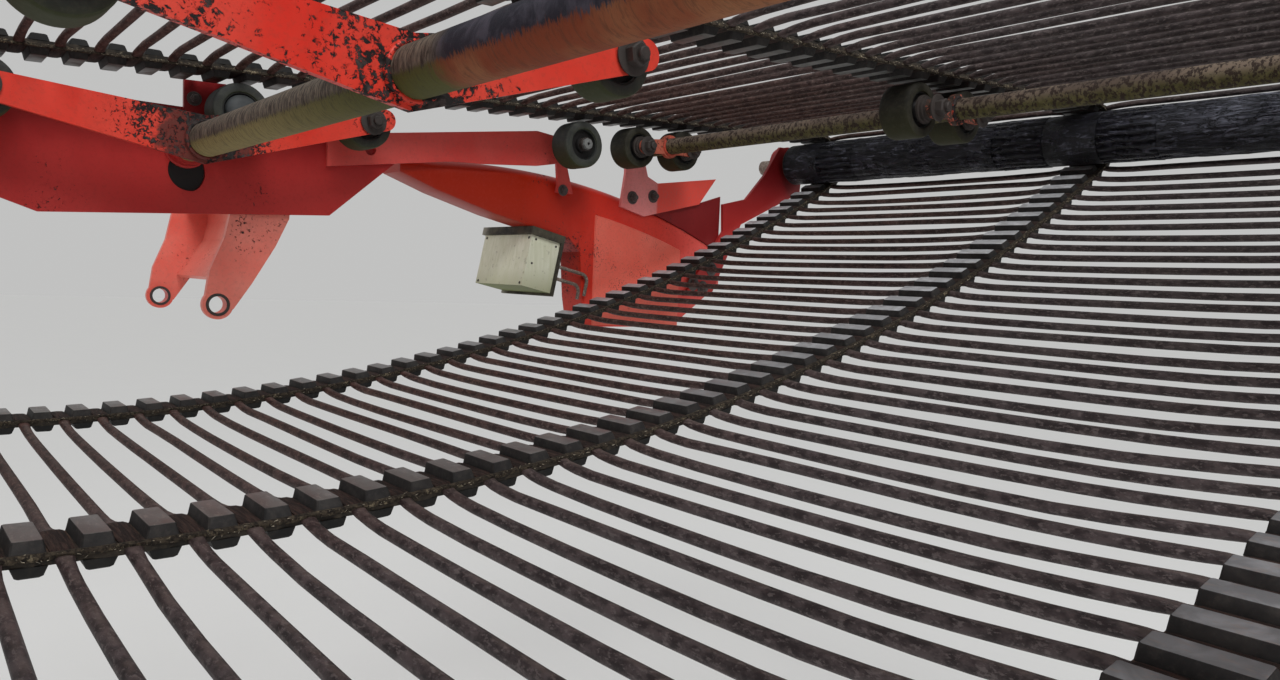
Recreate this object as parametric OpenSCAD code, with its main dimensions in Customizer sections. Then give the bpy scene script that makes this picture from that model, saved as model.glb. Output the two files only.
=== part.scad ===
// Rod web conveyor of a potato harvester: steel rods on three cam belts, run round a drive drum
// and two tail rollers, carried by rocking roller carriers between two side plates.
// X runs along the rods from left to right, Y along the conveyor towards the drum, Z up.
// The origin is on the axis of the hinge bores, midway between the two side plates.

/* [Web] */
// Distance from one belt's centre to the next
belt_spacing = 725; // [600:5:850]
// Distance from rod to rod along the belt
rod_pitch = 50; // [45:1:60]
// Diameter of a rod
rod_d = 12; // [8:0.5:13]
// Length of rod beyond each outer belt
rod_overhang = 10; // [2:1:14]
// Width of a belt
belt_w = 84; // [50:1:90]
// Thickness of the belt's fabric band
band_t = 8; // [5:0.5:12]
// Height of the cams on the inner face
cam_h = 15; // [14:0.5:20]
// Length of a cam where it leaves the band
cam_base = 31; // [24:0.5:32]
// Length of a cam at its tip
cam_tip = 21; // [14:0.5:24]
// Height of the backing blocks on the outer face
block_h = 11; // [6:0.5:16]
// Air left under a rod in its valley
rod_gap = 0.8; // [0.6:0.1:1]

/* [Run of the web] */
// Drum axis in front of the hinge bores
drum_y = 1507; // [1400:1:1700]
// Drum axis above the hinge bores
drum_z = 414; // [380:1:450]
// Upper tail roller axis behind the hinge bores
tail_y = 798; // [740:1:900]
// Upper tail roller axis above the hinge bores
tail_z = 285; // [260:1:300]
// Sag of the upper strand
top_sag = 12; // [4:1:20]
// Depth of the slack strand below the hinge bores
slack_depth = 175; // [150:1:220]
// Slope of the slack strand where it leaves the drum
slack_leave = 29.5; // [26:0.5:33]
// Slope of the slack strand where it meets the lower tail roller
slack_meet = 6.7; // [5:0.1:9]

/* [Drum and tail rollers] */
// Diameter under the belts
roller_d = 108; // [90:1:130]
// Diameter of the ribbed drive sleeves
sleeve_d = 112; // [109:0.5:113]
// Length of a ribbed drive sleeve
sleeve_len = 62; // [40:1:90]
// Ribs round a drive sleeve
rib_count = 24; // [18:1:28]
// Depth of the grooves between the ribs
rib_depth = 3; // [1.5:0.5:4]
// Width of the smooth track under a belt
track_w = 92; // [91:1:110]
// Diameter of the drum shaft in its bearings
drum_shaft_d = 45; // [42:1:50]
// Diameter of the drive shaft outside the left bearing
drive_d = 40; // [30:1:41]
// Diameter of the tail roller shafts
tail_shaft_d = 30; // [24:1:36]
// Length of drive shaft outside the left bearing
drive_len = 70; // [50:1:90]
// Air between a cam tip and what it runs on
seat_gap = 0.3; // [0.2:0.1:0.6]
// Air between a cam tip and a support roller
wheel_gap = 1.2; // [1:0.1:2]
// Radial running clearance of a pin or shaft
run_gap = 0.1; // [0.05:0.01:0.1]

/* [Support rollers] */
// Diameter of a support roller
wheel_d = 92; // [80:1:96]
// Width of a support roller
wheel_w = 56; // [40:1:60]
// Diameter of a roller's pin
wheel_pin_d = 16; // [12:1:18]
// Thickness of a roller pin's head
pin_head = 4; // [3:1:6]
// Radius of a roller's hub face
hub_r = 25; // [20:1:28]
// Depth of the recess round the hub
hub_recess = 6; // [3:1:10]
// Air beside a roller
side_gap = 3; // [2:0.5:5]

/* [Rocker] */
// Rocker tube axis behind the hinge bores
rocker_y = 56; // [50:1:60]
// Rocker tube axis above the hinge bores
rocker_z = 269; // [264:1:272]
// Diameter of the rocker tube
rocker_d = 54; // [48:1:56]
// Front carrier roller in front of the hinge bores
carrier_front = 222; // [180:1:230]
// Rear carrier roller behind the hinge bores
carrier_rear = 348; // [300:1:380]
// Thickness of a carrier plate
carrier_t = 10; // [8:1:12]
// Metal of a carrier over the tube
arm_over_tube = 12; // [8:1:14]
// Metal of a carrier under the tube, down to the point where its arms meet
arm_under_tube = 11; // [8:1:16]
// Depth of a carrier arm at its end
arm_end = 38; // [30:1:44]
// Arm beyond the roller's pin
arm_over = 44; // [30:1:55]
// Gap between a roller's pin head and a carrier plate beside it
carrier_gap = 3; // [2:0.5:8]

/* [Roller pairs] */
// Pair shaft axis in front of a roller bar's roller
pair_ahead = 227; // [200:1:260]
// Depth of the pair shaft below the strand
pair_drop = 63; // [55:1:75]
// Diameter of the pair shaft
pair_shaft_d = 36; // [30:1:38]
// Distance from the shaft to each roller of a pair, along the conveyor
pair_reach = 70; // [69:1:90]
// Distance from a belt's centre to its pair's bracket
pair_off = 48; // [40:1:56]
// Thickness of a pair's bracket
pair_t = 10; // [8:1:12]
// Depth of a pair's bracket arm
pair_arm = 32; // [26:1:40]

/* [Side frames] */
// Gap from the ends of the rods to a side plate
frame_gap = 23; // [15:1:60]
// Thickness of a side plate
plate_t = 8; // [6:1:12]
// Top edge of a side plate above the hinge bores
plate_top = 335; // [325:1:345]
// Lower edge of a side plate above the hinge bores
plate_low = 142; // [130:1:160]
// Higher lower edge of the right plate
right_raise = 22; // [0:1:30]
// Radius of the round hole below the rocker tube
rocker_hole_r = 38; // [34:1:44]
// Cover of the rocker's housing round that hole
hole_cover = 7; // [4:1:9]
// Length of the rocker's bearing sleeve inside a side plate
rocker_sleeve = 30; // [20:1:40]
// Width of a curved rail
rail_w = 80; // [60:1:100]
// Radius of a curved rail's top
rail_r = 1714; // [1650:1:1750]
// Top of a curved rail above the hinge bores
rail_top = 302; // [298:1:308]
// Width of the folded flange below the pair shaft's plate
flange_w = 50; // [30:1:70]
// Diameter of the tie tube at the tail
tie_d = 60; // [50:1:70]
// Tie tube axis behind the hinge bores
tie_y = 560; // [520:1:600]
// Depth of the tie tube's axis below the top of the side plates
tie_drop = 50; // [45:1:60]
// Outside radius of a bearing housing
housing_r = 52; // [46:1:60]
// Length of a bearing housing
housing_len = 24; // [18:1:30]

/* [Idlers and roller bars] */
// Diameter of a bar's roller
bar_roller_d = 100; // [90:1:104]
// Idler in front of the hinge bores
idler_y = 4; // [0:1:12]
// Depth of a roller bar
bar_h = 60; // [50:1:66]
// Thickness of a roller bar
bar_t = 8; // [6:1:9]
// Rear end of a roller bar in front of the hinge bores
bar_start = 185; // [160:1:220]
// Bar's roller in front of the hinge bores
bar_roller_y = 710; // [680:1:740]
// Hole in a roller bar
bar_hole_d = 22; // [14:1:26]

/* [Hinge brackets] */
// Diameter of the hinge bores
hinge_d = 30; // [25:1:35]
// Distance between the two leaves of a bracket
hinge_span = 418; // [300:1:450]
// Thickness of a hinge leaf
leaf_t = 12; // [10:1:16]
// Radius of the boss round a hinge bore
hinge_boss_r = 26; // [22:1:30]
// Length of the boss round a hinge bore
hinge_boss = 14; // [8:1:20]

/* [Lamp] */
// Width of the lamp across the conveyor
lamp_w = 200; // [150:1:210]
// Height of the lamp
lamp_h = 116; // [100:1:125]
// Depth of the lamp
lamp_d = 78; // [60:1:90]
// Lamp in front of the hinge bores
lamp_y = 655; // [600:1:665]
// Thickness of the lamp's lid
lid_t = 18; // [10:1:22]
// Thickness of the lamp's rim
rim_t = 7; // [4:1:10]
// Overhang of the lid and the rim
rim_over = 6; // [2:1:10]
// Diameter of the bent guard rods
guard_d = 8; // [6:1:10]
// Bend radius of the guard rods
guard_bend = 18; // [12:1:24]

/* [Hidden] */
$fn = 48;

band_half = band_t / 2;
cam_reach = band_half + cam_h;
roller_r = roller_d / 2;
rad = 180 / PI;
// The flat tip of a cam clears the roller at its middle, so the web runs a little further out
tip_angle = cam_tip / 2 / (roller_r + cam_reach) * rad;
wrap_r = (roller_r + seat_gap) / cos(tip_angle) + cam_reach;

drum_c = [drum_y, drum_z];
tail_c = [-tail_y, tail_z];
top_slope = atan2(drum_z - tail_z, drum_y + tail_y);

// Upper strand between the tangent points on the tail roller and the drum
function across(a, r) = [-r * sin(a), r * cos(a)];
top_from = tail_c + across(top_slope, wrap_r);
top_to = drum_c + across(top_slope, wrap_r);
top_len = norm(top_to - top_from);
function top_share(y) = (y - top_from[0]) / (top_to[0] - top_from[0]);
function sag_at(t) = 4 * top_sag * t * (1 - t);
function strand_z(y) = top_from[1] + (top_to[1] - top_from[1]) * top_share(y) - sag_at(top_share(y));
// Height of the axis of a roller of diameter d that carries the upper strand at y
function under_strand(y, d) = strand_z(y) - cam_reach - d / 2 - wheel_gap;

// Slack strand: a parabola from the drum down to its lowest point and up to the lower tail roller
slack_from = drum_c + across(180 + slack_leave, wrap_r);
slack_run = 2 * (slack_from[1] + slack_depth) / tan(slack_leave);
slack_low_y = slack_from[0] - slack_run;
slack_k = tan(slack_leave) / (2 * slack_run);
function slack_point(p) = [slack_low_y + p / (2 * slack_k), p * p / (4 * slack_k) - slack_depth];
function slack_arc(p) = (p * sqrt(1 + p * p) + sign(p) * ln(abs(p) + sqrt(1 + p * p))) / (4 * slack_k);
p_from = tan(slack_leave);
p_to = -tan(slack_meet);
slack_len = slack_arc(p_from) - slack_arc(p_to);
slack_steps = 48;
slack_table = [for (i = [0:slack_steps])
    let (p = p_from + (p_to - p_from) * i / slack_steps)
    [slack_arc(p_from) - slack_arc(p), p]];
low_c = slack_point(p_to) - across(180 - slack_meet, wrap_r);

// The web's run, one row a stretch: length and end in travel order
run_angle = atan2(tail_z - low_c[1], -tail_y - low_c[0]);
drum_turn = 180 - slack_leave + top_slope;
low_turn = 180 - slack_meet - run_angle;
tail_turn = run_angle - top_slope;
tail_run = norm(tail_c - low_c);
end_top = top_len;
end_drum = end_top + wrap_r * drum_turn / rad;
end_slack = end_drum + slack_len;
end_low = end_slack + wrap_r * low_turn / rad;
end_run = end_low + tail_run;
web_len = end_run + wrap_r * tail_turn / rad;
rod_count = round(web_len / rod_pitch);
rod_step = web_len / rod_count;

// Point, height off the band's middle and direction at a length s along the web
function turned(c, a, n) = c + across(a, wrap_r + n);
function top_point(s) =
    let (p = top_from + (top_to - top_from) * s / top_len)
    [p[0], p[1] - sag_at(s / top_len)];
function web_point(s, n) =
    s < 0 ? web_point(s + web_len, n) :
    s >= web_len ? web_point(s - web_len, n) :
    s < end_top ? top_point(s) + across(top_slope, n) :
    s < end_drum ? turned(drum_c, top_slope - (s - end_top) / wrap_r * rad, n) :
    s < end_slack ? let (p = lookup(s - end_drum, slack_table))
        slack_point(p) + across(180 + atan(p), n) :
    s < end_low ? turned(low_c, 180 - slack_meet - (s - end_slack) / wrap_r * rad, n) :
    s < end_run ? low_c + (tail_c - low_c) * (s - end_low) / tail_run + across(run_angle, wrap_r + n) :
    turned(tail_c, run_angle - (s - end_run) / wrap_r * rad, n);

// Outline of one pitch of the belt's inner face: place from the rod and height off the band
half_step = rod_step / 2;
inner_face = [
    [half_step - cam_base / 2, -band_half],
    [half_step - cam_tip / 2, -cam_reach],
    [half_step + cam_tip / 2, -cam_reach],
    [half_step + cam_base / 2, -band_half]];
outer_face = [[half_step, band_half + block_h], [rod_step, band_half + block_h]];

module loft_x(x0, x1) {
    translate([x0, 0, 0]) rotate([90, 0, 90]) linear_extrude(x1 - x0) children();
}

module rod_x(x0, x1, at, d) {
    translate([x0, at[0], at[1]]) rotate([0, 90, 0]) cylinder(d = d, h = x1 - x0);
}

module mirrored(side) {
    if (side < 0) children();
    else mirror([1, 0, 0]) children();
}

// Web

module belt(x) {
    inner = [for (i = [0:rod_count - 1]) for (f = inner_face) web_point(i * rod_step + f[0], f[1])];
    outer = [for (i = [0:rod_count - 1]) for (f = outer_face) web_point(i * rod_step + f[0], f[1])];
    loft_x(x - belt_w / 2, x + belt_w / 2) difference() {
        polygon(outer);
        polygon(inner);
    }
}

rod_half = belt_spacing + belt_w / 2 + rod_overhang;
rod_seat = -(band_half + rod_d / 2 + rod_gap);

module belt_left() color("dimgray") belt(-belt_spacing);
module belt_middle() color("dimgray") belt(0);
module belt_right() color("dimgray") belt(belt_spacing);

module web_rods() color("saddlebrown")
    for (i = [0:rod_count - 1]) rod_x(-rod_half, rod_half, web_point(i * rod_step, rod_seat), rod_d);

// Drum and tail rollers

plate_in = rod_half + frame_gap;
plate_out = plate_in + plate_t;
barrel_half = plate_in - 14;

// Section of a ribbed sleeve: rows of share of a pitch and depth below the ribs' tops
rib_rows = [[0.08, rib_depth], [0.2, 0], [0.62, 0], [0.74, rib_depth]];

module ribs() polygon([for (i = [0:rib_count - 1]) for (row = rib_rows)
    across((i + row[0]) * 360 / rib_count, sleeve_d / 2 - row[1])]);

module drum() color("darkslategray") {
    rod_x(-barrel_half, barrel_half, drum_c, roller_d);
    for (x = [-belt_spacing, 0, belt_spacing])
        for (side = [-1, 1]) {
            x0 = x + side * (track_w + sleeve_len) / 2 - sleeve_len / 2;
            x1 = x0 + sleeve_len;
            if (x1 < barrel_half && x0 > -barrel_half) loft_x(x0, x1) translate(drum_c) ribs();
        }
    rod_x(-plate_out - housing_len, plate_out + housing_len, drum_c, drum_shaft_d);
    rod_x(-plate_out - housing_len - drive_len, -plate_out, drum_c, drive_d);
}

module tail_roller(at) {
    rod_x(-barrel_half, barrel_half, at, roller_d);
    rod_x(-plate_out - housing_len, plate_out + housing_len, at, tail_shaft_d);
}

module tail_roller_upper() color("dimgray") tail_roller(tail_c);
module tail_roller_lower() color("dimgray") tail_roller(low_c);

// Support roller: a rubber tyre on a hub, turning on a pin
module support_roller(x, at, d) {
    translate([x, at[0], at[1]]) rotate([0, 90, 0]) rotate_extrude() polygon([
        [wheel_pin_d / 2 + run_gap, -wheel_w / 2],
        [hub_r, -wheel_w / 2],
        [hub_r, -wheel_w / 2 + hub_recess],
        [hub_r + 8, -wheel_w / 2 + hub_recess],
        [hub_r + 10, -wheel_w / 2],
        [d / 2 - 3, -wheel_w / 2],
        [d / 2, -wheel_w / 2 + 3],
        [d / 2, wheel_w / 2 - 3],
        [d / 2 - 3, wheel_w / 2],
        [hub_r + 10, wheel_w / 2],
        [hub_r + 8, wheel_w / 2 - hub_recess],
        [hub_r, wheel_w / 2 - hub_recess],
        [hub_r, wheel_w / 2],
        [wheel_pin_d / 2 + run_gap, wheel_w / 2]]);
}

// Pin from a plate's face at x0 through a roller centred at x, with a head beyond it
module roller_pin(x0, x, at) {
    side = x > x0 ? 1 : -1;
    end = x + side * (wheel_w / 2 + side_gap);
    rod_x(min(x0, end), max(x0, end), at, wheel_pin_d);
    collar = x - side * (wheel_w / 2 + side_gap);
    rod_x(min(x0, collar), max(x0, collar), at, wheel_pin_d + 12);
    rod_x(min(end, end + side * pin_head), max(end, end + side * pin_head), at, wheel_pin_d + 12);
}

// Rocker

rocker_c = [-rocker_y, rocker_z];
front_c = [carrier_front, under_strand(carrier_front, wheel_d)];
rear_c = [-carrier_rear, under_strand(-carrier_rear, wheel_d)];
carrier_off = wheel_w / 2 + side_gap + pin_head + carrier_gap + carrier_t / 2;
outer_carrier_x = belt_spacing - carrier_off;

module rocker_tube() color("dimgray") difference() {
    rod_x(-plate_out - housing_len, plate_out + housing_len, rocker_c, rocker_d);
    rod_x(-plate_out - housing_len - 1, plate_out + housing_len + 1, rocker_c, rocker_d - 12);
}

// Tapered arm from the tube to past a roller's pin, with a round end
module carrier_arm(x0, x1, at) {
    way = at - rocker_c;
    unit = way / norm(way);
    normal = [-unit[1], unit[0]] * sign(unit[0]) * arm_end / 2;
    end = at + unit * (arm_over - arm_end / 2);
    loft_x(x0, x1) polygon([rocker_c - [0, rocker_d / 2 + arm_under_tube], end - normal, end + normal,
        rocker_c + [0, rocker_d / 2 + arm_over_tube]]);
    rod_x(x0, x1, end, arm_end);
}

module carrier(x, wheel_x) {
    difference() {
        union() {
            for (at = [front_c, rear_c]) carrier_arm(x - carrier_t / 2, x + carrier_t / 2, at);
            rod_x(x - 0.8 * carrier_t, x + 0.8 * carrier_t, rocker_c, rocker_d + arm_over_tube);
        }
        rod_x(x - 2 * carrier_t, x + 2 * carrier_t, rocker_c, rocker_d + 2 * run_gap);
    }
    for (at = [front_c, rear_c]) roller_pin(x, wheel_x, at);
}

module carrier_left() color("orangered") carrier(-outer_carrier_x, -belt_spacing);
module carrier_middle() color("orangered") carrier(carrier_off, 0);
module carrier_right() color("orangered") carrier(outer_carrier_x, belt_spacing);

module carrier_roller_left_front() color("dimgray") support_roller(-belt_spacing, front_c, wheel_d);
module carrier_roller_left_rear() color("dimgray") support_roller(-belt_spacing, rear_c, wheel_d);
module carrier_roller_middle_front() color("dimgray") support_roller(0, front_c, wheel_d);
module carrier_roller_middle_rear() color("dimgray") support_roller(0, rear_c, wheel_d);
module carrier_roller_right_front() color("dimgray") support_roller(belt_spacing, front_c, wheel_d);
module carrier_roller_right_rear() color("dimgray") support_roller(belt_spacing, rear_c, wheel_d);

// Roller pairs on their shaft

pair_y = bar_roller_y + pair_ahead;
pair_c = [pair_y, strand_z(pair_y) - pair_drop];
pair_front_c = [pair_y + pair_reach, under_strand(pair_y + pair_reach, wheel_d)];
pair_rear_c = [pair_y - pair_reach, under_strand(pair_y - pair_reach, wheel_d)];
// Rows of roller pairs: belt centre and side of the bracket
pair_rows = [[-belt_spacing, 1], [0, 1], [belt_spacing, -1]];

module pair_bracket(x, side) {
    x0 = x + side * pair_off - pair_t / 2;
    x1 = x0 + pair_t;
    loft_x(x0, x1) {
        for (at = [pair_front_c, pair_rear_c]) {
            way = at - pair_c;
            normal = [-way[1], way[0]] / norm(way) * pair_arm / 2;
            polygon([pair_c + normal, at + normal, at - normal, pair_c - normal]);
            translate(at) circle(d = pair_arm);
        }
        translate(pair_c) circle(d = pair_shaft_d + 16);
    }
    for (at = [pair_front_c, pair_rear_c]) roller_pin((x0 + x1) / 2, x, at);
}

module pair_shaft() color("saddlebrown") {
    rod_x(-plate_out - 10, plate_out + 10, pair_c, pair_shaft_d);
    for (row = pair_rows) pair_bracket(row[0], row[1]);
}

module pair_roller(row, at) support_roller(pair_rows[row][0], at, wheel_d);
module pair_roller_left_front() color("dimgray") pair_roller(0, pair_front_c);
module pair_roller_left_rear() color("dimgray") pair_roller(0, pair_rear_c);
module pair_roller_middle_front() color("dimgray") pair_roller(1, pair_front_c);
module pair_roller_middle_rear() color("dimgray") pair_roller(1, pair_rear_c);
module pair_roller_right_front() color("dimgray") pair_roller(2, pair_front_c);
module pair_roller_right_rear() color("dimgray") pair_roller(2, pair_rear_c);

// Side frames, drawn on the left and mirrored to the right

// Outline of a side plate: place along the conveyor and height
function plate_points(raise) = [
    [-tail_y - 62, tail_z - 58], [-640, plate_low + 62 + raise], [-317, plate_low + 18 + raise],
    [-268, plate_low + raise], [194, plate_low + 30 + raise], [332, 292], [332, plate_top - 8],
    [300, plate_top], [-tail_y - 30, plate_top], [-tail_y - 62, plate_top - 32]];

// Centre of the round hole below the rocker tube, which the rocker's housing closes on the outside
rocker_hole_c = rocker_c - [7, 42];

module side_plate(raise) {
    difference() {
        loft_x(-plate_out, -plate_in) polygon(plate_points(raise));
        rod_x(-plate_out - 1, -plate_in + 1, rocker_c, rocker_d + 2 * run_gap);
        rod_x(-plate_out - 1, -plate_in + 1, rocker_hole_c, 2 * rocker_hole_r);
        rod_x(-plate_out - 1, -plate_in + 1, tail_c, tail_shaft_d + 2 * run_gap);
    }
    difference() {
        union() {
            rod_x(-plate_out - housing_len, -plate_out, rocker_c, 2 * housing_r);
            rod_x(-plate_out - housing_len, -plate_out, rocker_hole_c, 2 * (rocker_hole_r + hole_cover));
            rod_x(-plate_out, -plate_in + rocker_sleeve, rocker_c, rocker_d + arm_over_tube);
        }
        rod_x(-plate_out - housing_len - 1, -plate_in + rocker_sleeve + 1, rocker_c, rocker_d + 2 * run_gap);
    }
    housing(tail_c, tail_shaft_d);
}

// Bearing housing on the outer face of a plate
module housing(at, d) {
    difference() {
        rod_x(-plate_out - housing_len, -plate_out, at, 2 * housing_r);
        rod_x(-plate_out - housing_len - 1, -plate_out + 1, at, d + 2 * run_gap);
    }
}

module side_plate_left() color("firebrick") side_plate(0);
module side_plate_right() color("firebrick") mirrored(1) side_plate(right_raise);

// Arm that carries the lower tail roller, on the outer face of the side plate
module tail_arm() {
    top = [low_c[0] + 30, plate_top - 60];
    difference() {
        union() {
            loft_x(-plate_out - plate_t, -plate_out) {
                polygon([top + [-55, 40], top + [55, 40], low_c + [48, 0], low_c + [-48, 0]]);
                translate(low_c) circle(r = 48);
            }
            rod_x(-plate_out - housing_len, -plate_out, low_c, 2 * housing_r - 16);
        }
        rod_x(-plate_out - housing_len - 1, -plate_out + 1, low_c, tail_shaft_d + 2 * run_gap);
    }
}

module tail_arm_left() color("firebrick") tail_arm();
module tail_arm_right() color("firebrick") mirrored(1) tail_arm();

module tail_tie() color("firebrick") difference() {
    rod_x(-plate_in, plate_in, [-tie_y, plate_top - tie_drop], tie_d);
    rod_x(-plate_in - 1, plate_in + 1, [-tie_y, plate_top - tie_drop], tie_d - 12);
}

// Curved rail: a box beam that deepens towards the drum plate
rail_crown_y = 545;
rail_under = [[560, 204], [760, 162]];
rail_low = concat([[338, 400], [338, 271], [427, 240]], rail_under,
    [[790, 135], [800, 24], [812, -40], [drum_y - 417, -40], [drum_y - 257, 70], [drum_y - 257, 400]]);
function rail_z(y) = rail_top - rail_r + sqrt(pow(rail_r, 2) - pow(y - rail_crown_y, 2));

module rail() {
    loft_x(-plate_out - rail_w, -plate_out) intersection() {
        translate([rail_crown_y, rail_top - rail_r]) circle(r = rail_r, $fn = 360);
        polygon(rail_low);
    }
}

module rail_left() color("firebrick") rail();
module rail_right() color("firebrick") mirrored(1) rail();

// Plate from the rail up to the drum's bearing
module drum_plate() {
    difference() {
        loft_x(-plate_out, -plate_in)
            polygon([drum_c + [-387, -374], drum_c + [-256, -201], drum_c + [-261, -130],
                drum_c + [-174, -109], drum_c + [-105, -38], drum_c + [-46, 46], drum_c + [34, 50],
                drum_c + [52, -6], drum_c + [46, -72], drum_c + [-189, -178], drum_c + [-292, -374]]);
        rod_x(-plate_out - 1, -plate_in + 1, drum_c, drum_shaft_d + 2 * run_gap);
    }
    housing(drum_c, drum_shaft_d);
}

module drum_plate_left() color("firebrick") drum_plate();
module drum_plate_right() color("firebrick") mirrored(1) drum_plate();

// Plate from the rail up to the pair shaft, seated on the rail's inner face
plate_seat = 16;

module shaft_plate() {
    low = [[pair_y + 38, rail_z(pair_y + 38) - plate_seat], pair_c + [222, -108]];
    fold = low[0] + (low[1] - low[0]) * 0.25;
    difference() {
        union() {
            loft_x(-plate_out, -plate_in)
                polygon([[pair_y - 37, rail_z(pair_y - 37) - plate_seat], pair_c + [-25, -54],
                    pair_c + [-26, 0], pair_c + [26, 0], pair_c + [45, -56], pair_c + [78, -69],
                    pair_c + [279, -38], low[1], low[0]]);
            rod_x(-plate_out, -plate_in, pair_c, pair_shaft_d + 22);
            // Flange folded out along the lower edge
            loft_x(-plate_out - flange_w, -plate_in)
                polygon([fold, low[1], low[1] + [0, plate_t], fold + [0, plate_t]]);
        }
        rod_x(-plate_out - 1, -plate_in + 1, pair_c, pair_shaft_d);
    }
}

module shaft_plate_left() color("firebrick") shaft_plate();
module shaft_plate_right() color("firebrick") mirrored(1) shaft_plate();

// Idlers and roller bars

idler_c = [idler_y, under_strand(idler_y, wheel_d)];
bar_c = [bar_roller_y, under_strand(bar_roller_y, bar_roller_d)];
bar_x = plate_in - bar_t;
bracket_low = rocker_z + rocker_d / 2 + 6;

module idler_bracket() {
    loft_x(-plate_in, -bar_x)
        polygon([[-62, bracket_low], [-62, plate_top + 45], idler_c + [0, 56], idler_c + [30, 42],
            idler_c + [34, 0], [24, bracket_low]]);
    roller_pin(-bar_x, -belt_spacing, idler_c);
}

module idler_bracket_left() color("firebrick") idler_bracket();
module idler_bracket_right() color("firebrick") mirrored(1) idler_bracket();
module idler_left() color("dimgray") support_roller(-belt_spacing, idler_c, wheel_d);
module idler_right() color("dimgray") support_roller(belt_spacing, idler_c, wheel_d);

module roller_bar() {
    start = [bar_start, plate_top - bar_h / 2 - 12];
    hole = start + (bar_c - start) * 0.16;
    difference() {
        loft_x(-plate_in, -bar_x) {
            polygon([start + [0, bar_h / 2], bar_c + [-60, bar_h / 2], bar_c + [0, 24],
                bar_c + [0, -24], bar_c + [-60, -bar_h / 2], start + [0, -bar_h / 2]]);
            translate(bar_c) circle(r = 24);
            polygon([bar_c + [-6, -20], bar_c + [18, -20], bar_c + [42, -98], bar_c + [2, -98]]);
        }
        rod_x(-plate_in - 1, -bar_x + 1, hole, bar_hole_d);
    }
    // Foot of the strut, on the rail
    loft_x(-plate_out, -plate_in)
        polygon([bar_c + [30, -60], bar_c + [42, -98], bar_c + [2, -98], bar_c + [10, -60]]);
    roller_pin(-bar_x, -belt_spacing, bar_c);
}

module roller_bar_left() color("firebrick") roller_bar();
module roller_bar_right() color("firebrick") mirrored(1) roller_bar();
module bar_roller_left() color("dimgray") support_roller(-belt_spacing, bar_c, bar_roller_d);
module bar_roller_right() color("dimgray") support_roller(belt_spacing, bar_c, bar_roller_d);

// Hinge brackets: two curved leaves, a back plate and a beam, on the outer face of the side plate
leaf_points = [[30, 214], [126, 214], [122, 160], [98, 108], [58, 40], [26, -8], [-24, -8],
    [-14, 60], [10, 120]];

module hinge_bracket() {
    far = -plate_out - hinge_span - leaf_t;
    difference() {
        union() {
            for (x = [-plate_out - leaf_t, far]) {
                loft_x(x, x + leaf_t) polygon(leaf_points);
                rod_x(x, x + leaf_t, [0, 0], 2 * hinge_boss_r);
                rod_x(x - hinge_boss, x + leaf_t, [0, 0], 2 * hinge_boss_r - 8);
            }
            loft_x(far, -plate_out) polygon([[46, 206], [106, 206], [106, 160], [92, 118], [40, 40],
                [32, 46], [82, 122], [92, 160], [92, 192], [46, 192]]);
        }
        rod_x(far - hinge_boss - 1, -plate_out + 1, [0, 0], hinge_d);
    }
}

module hinge_bracket_left() color("firebrick") hinge_bracket();
module hinge_bracket_right() color("firebrick") mirrored(1) hinge_bracket();

// Lamp under the left rail: a box with a lid on top, a rim on its front and two bent guard rods
lamp_slope = (rail_under[1][1] - rail_under[0][1]) / (rail_under[1][0] - rail_under[0][0]);
lamp_z = rail_under[0][1] + lamp_slope * (lamp_y - rail_under[0][0]);
lamp_x = plate_in;
// Rows of guard rods: depth below the lid, length forward and length down
guard_rows = [[52, 70, 30], [80, 52, 14]];

module in_lamp() {
    translate([-lamp_x - lamp_w, lamp_y, lamp_z]) rotate([atan(lamp_slope), 0, 0]) children();
}

module lamp_body() color("beige") in_lamp()
    translate([0, 0, -lid_t - lamp_h]) cube([lamp_w, lamp_d, lamp_h]);

module lamp_rim() color("black") in_lamp() {
    translate([-rim_over, -rim_over, -lid_t]) cube([lamp_w + 2 * rim_over, lamp_d + rim_over + rim_t, lid_t]);
    translate([-rim_over, lamp_d, -lid_t - lamp_h - rim_over])
        cube([lamp_w + 2 * rim_over, rim_t, lamp_h + rim_over]);
}

module lamp_guard() color("dimgray") in_lamp()
    for (row = guard_rows) translate([lamp_w, lamp_d + rim_t, -lid_t - row[0]]) {
        rotate([-90, 0, 0]) cylinder(d = guard_d, h = row[1]);
        translate([0, row[1], -guard_bend]) rotate([0, 0, 90]) rotate([90, 0, 0])
            rotate_extrude(angle = 90) translate([guard_bend, 0]) circle(d = guard_d);
        translate([0, row[1] + guard_bend, -guard_bend - row[2]]) cylinder(d = guard_d, h = row[2]);
    }

belt_left();
belt_middle();
belt_right();
web_rods();
drum();
tail_roller_upper();
tail_roller_lower();
side_plate_left();
side_plate_right();
tail_arm_left();
tail_arm_right();
rail_left();
rail_right();
drum_plate_left();
drum_plate_right();
shaft_plate_left();
shaft_plate_right();
tail_tie();
rocker_tube();
carrier_left();
carrier_middle();
carrier_right();
carrier_roller_left_front();
carrier_roller_left_rear();
carrier_roller_middle_front();
carrier_roller_middle_rear();
carrier_roller_right_front();
carrier_roller_right_rear();
pair_shaft();
pair_roller_left_front();
pair_roller_left_rear();
pair_roller_middle_front();
pair_roller_middle_rear();
pair_roller_right_front();
pair_roller_right_rear();
idler_bracket_left();
idler_bracket_right();
idler_left();
idler_right();
roller_bar_left();
roller_bar_right();
bar_roller_left();
bar_roller_right();
hinge_bracket_left();
hinge_bracket_right();
lamp_body();
lamp_rim();
lamp_guard();
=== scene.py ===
import math
import random

import bpy
from mathutils import Matrix, Vector, noise


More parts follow.
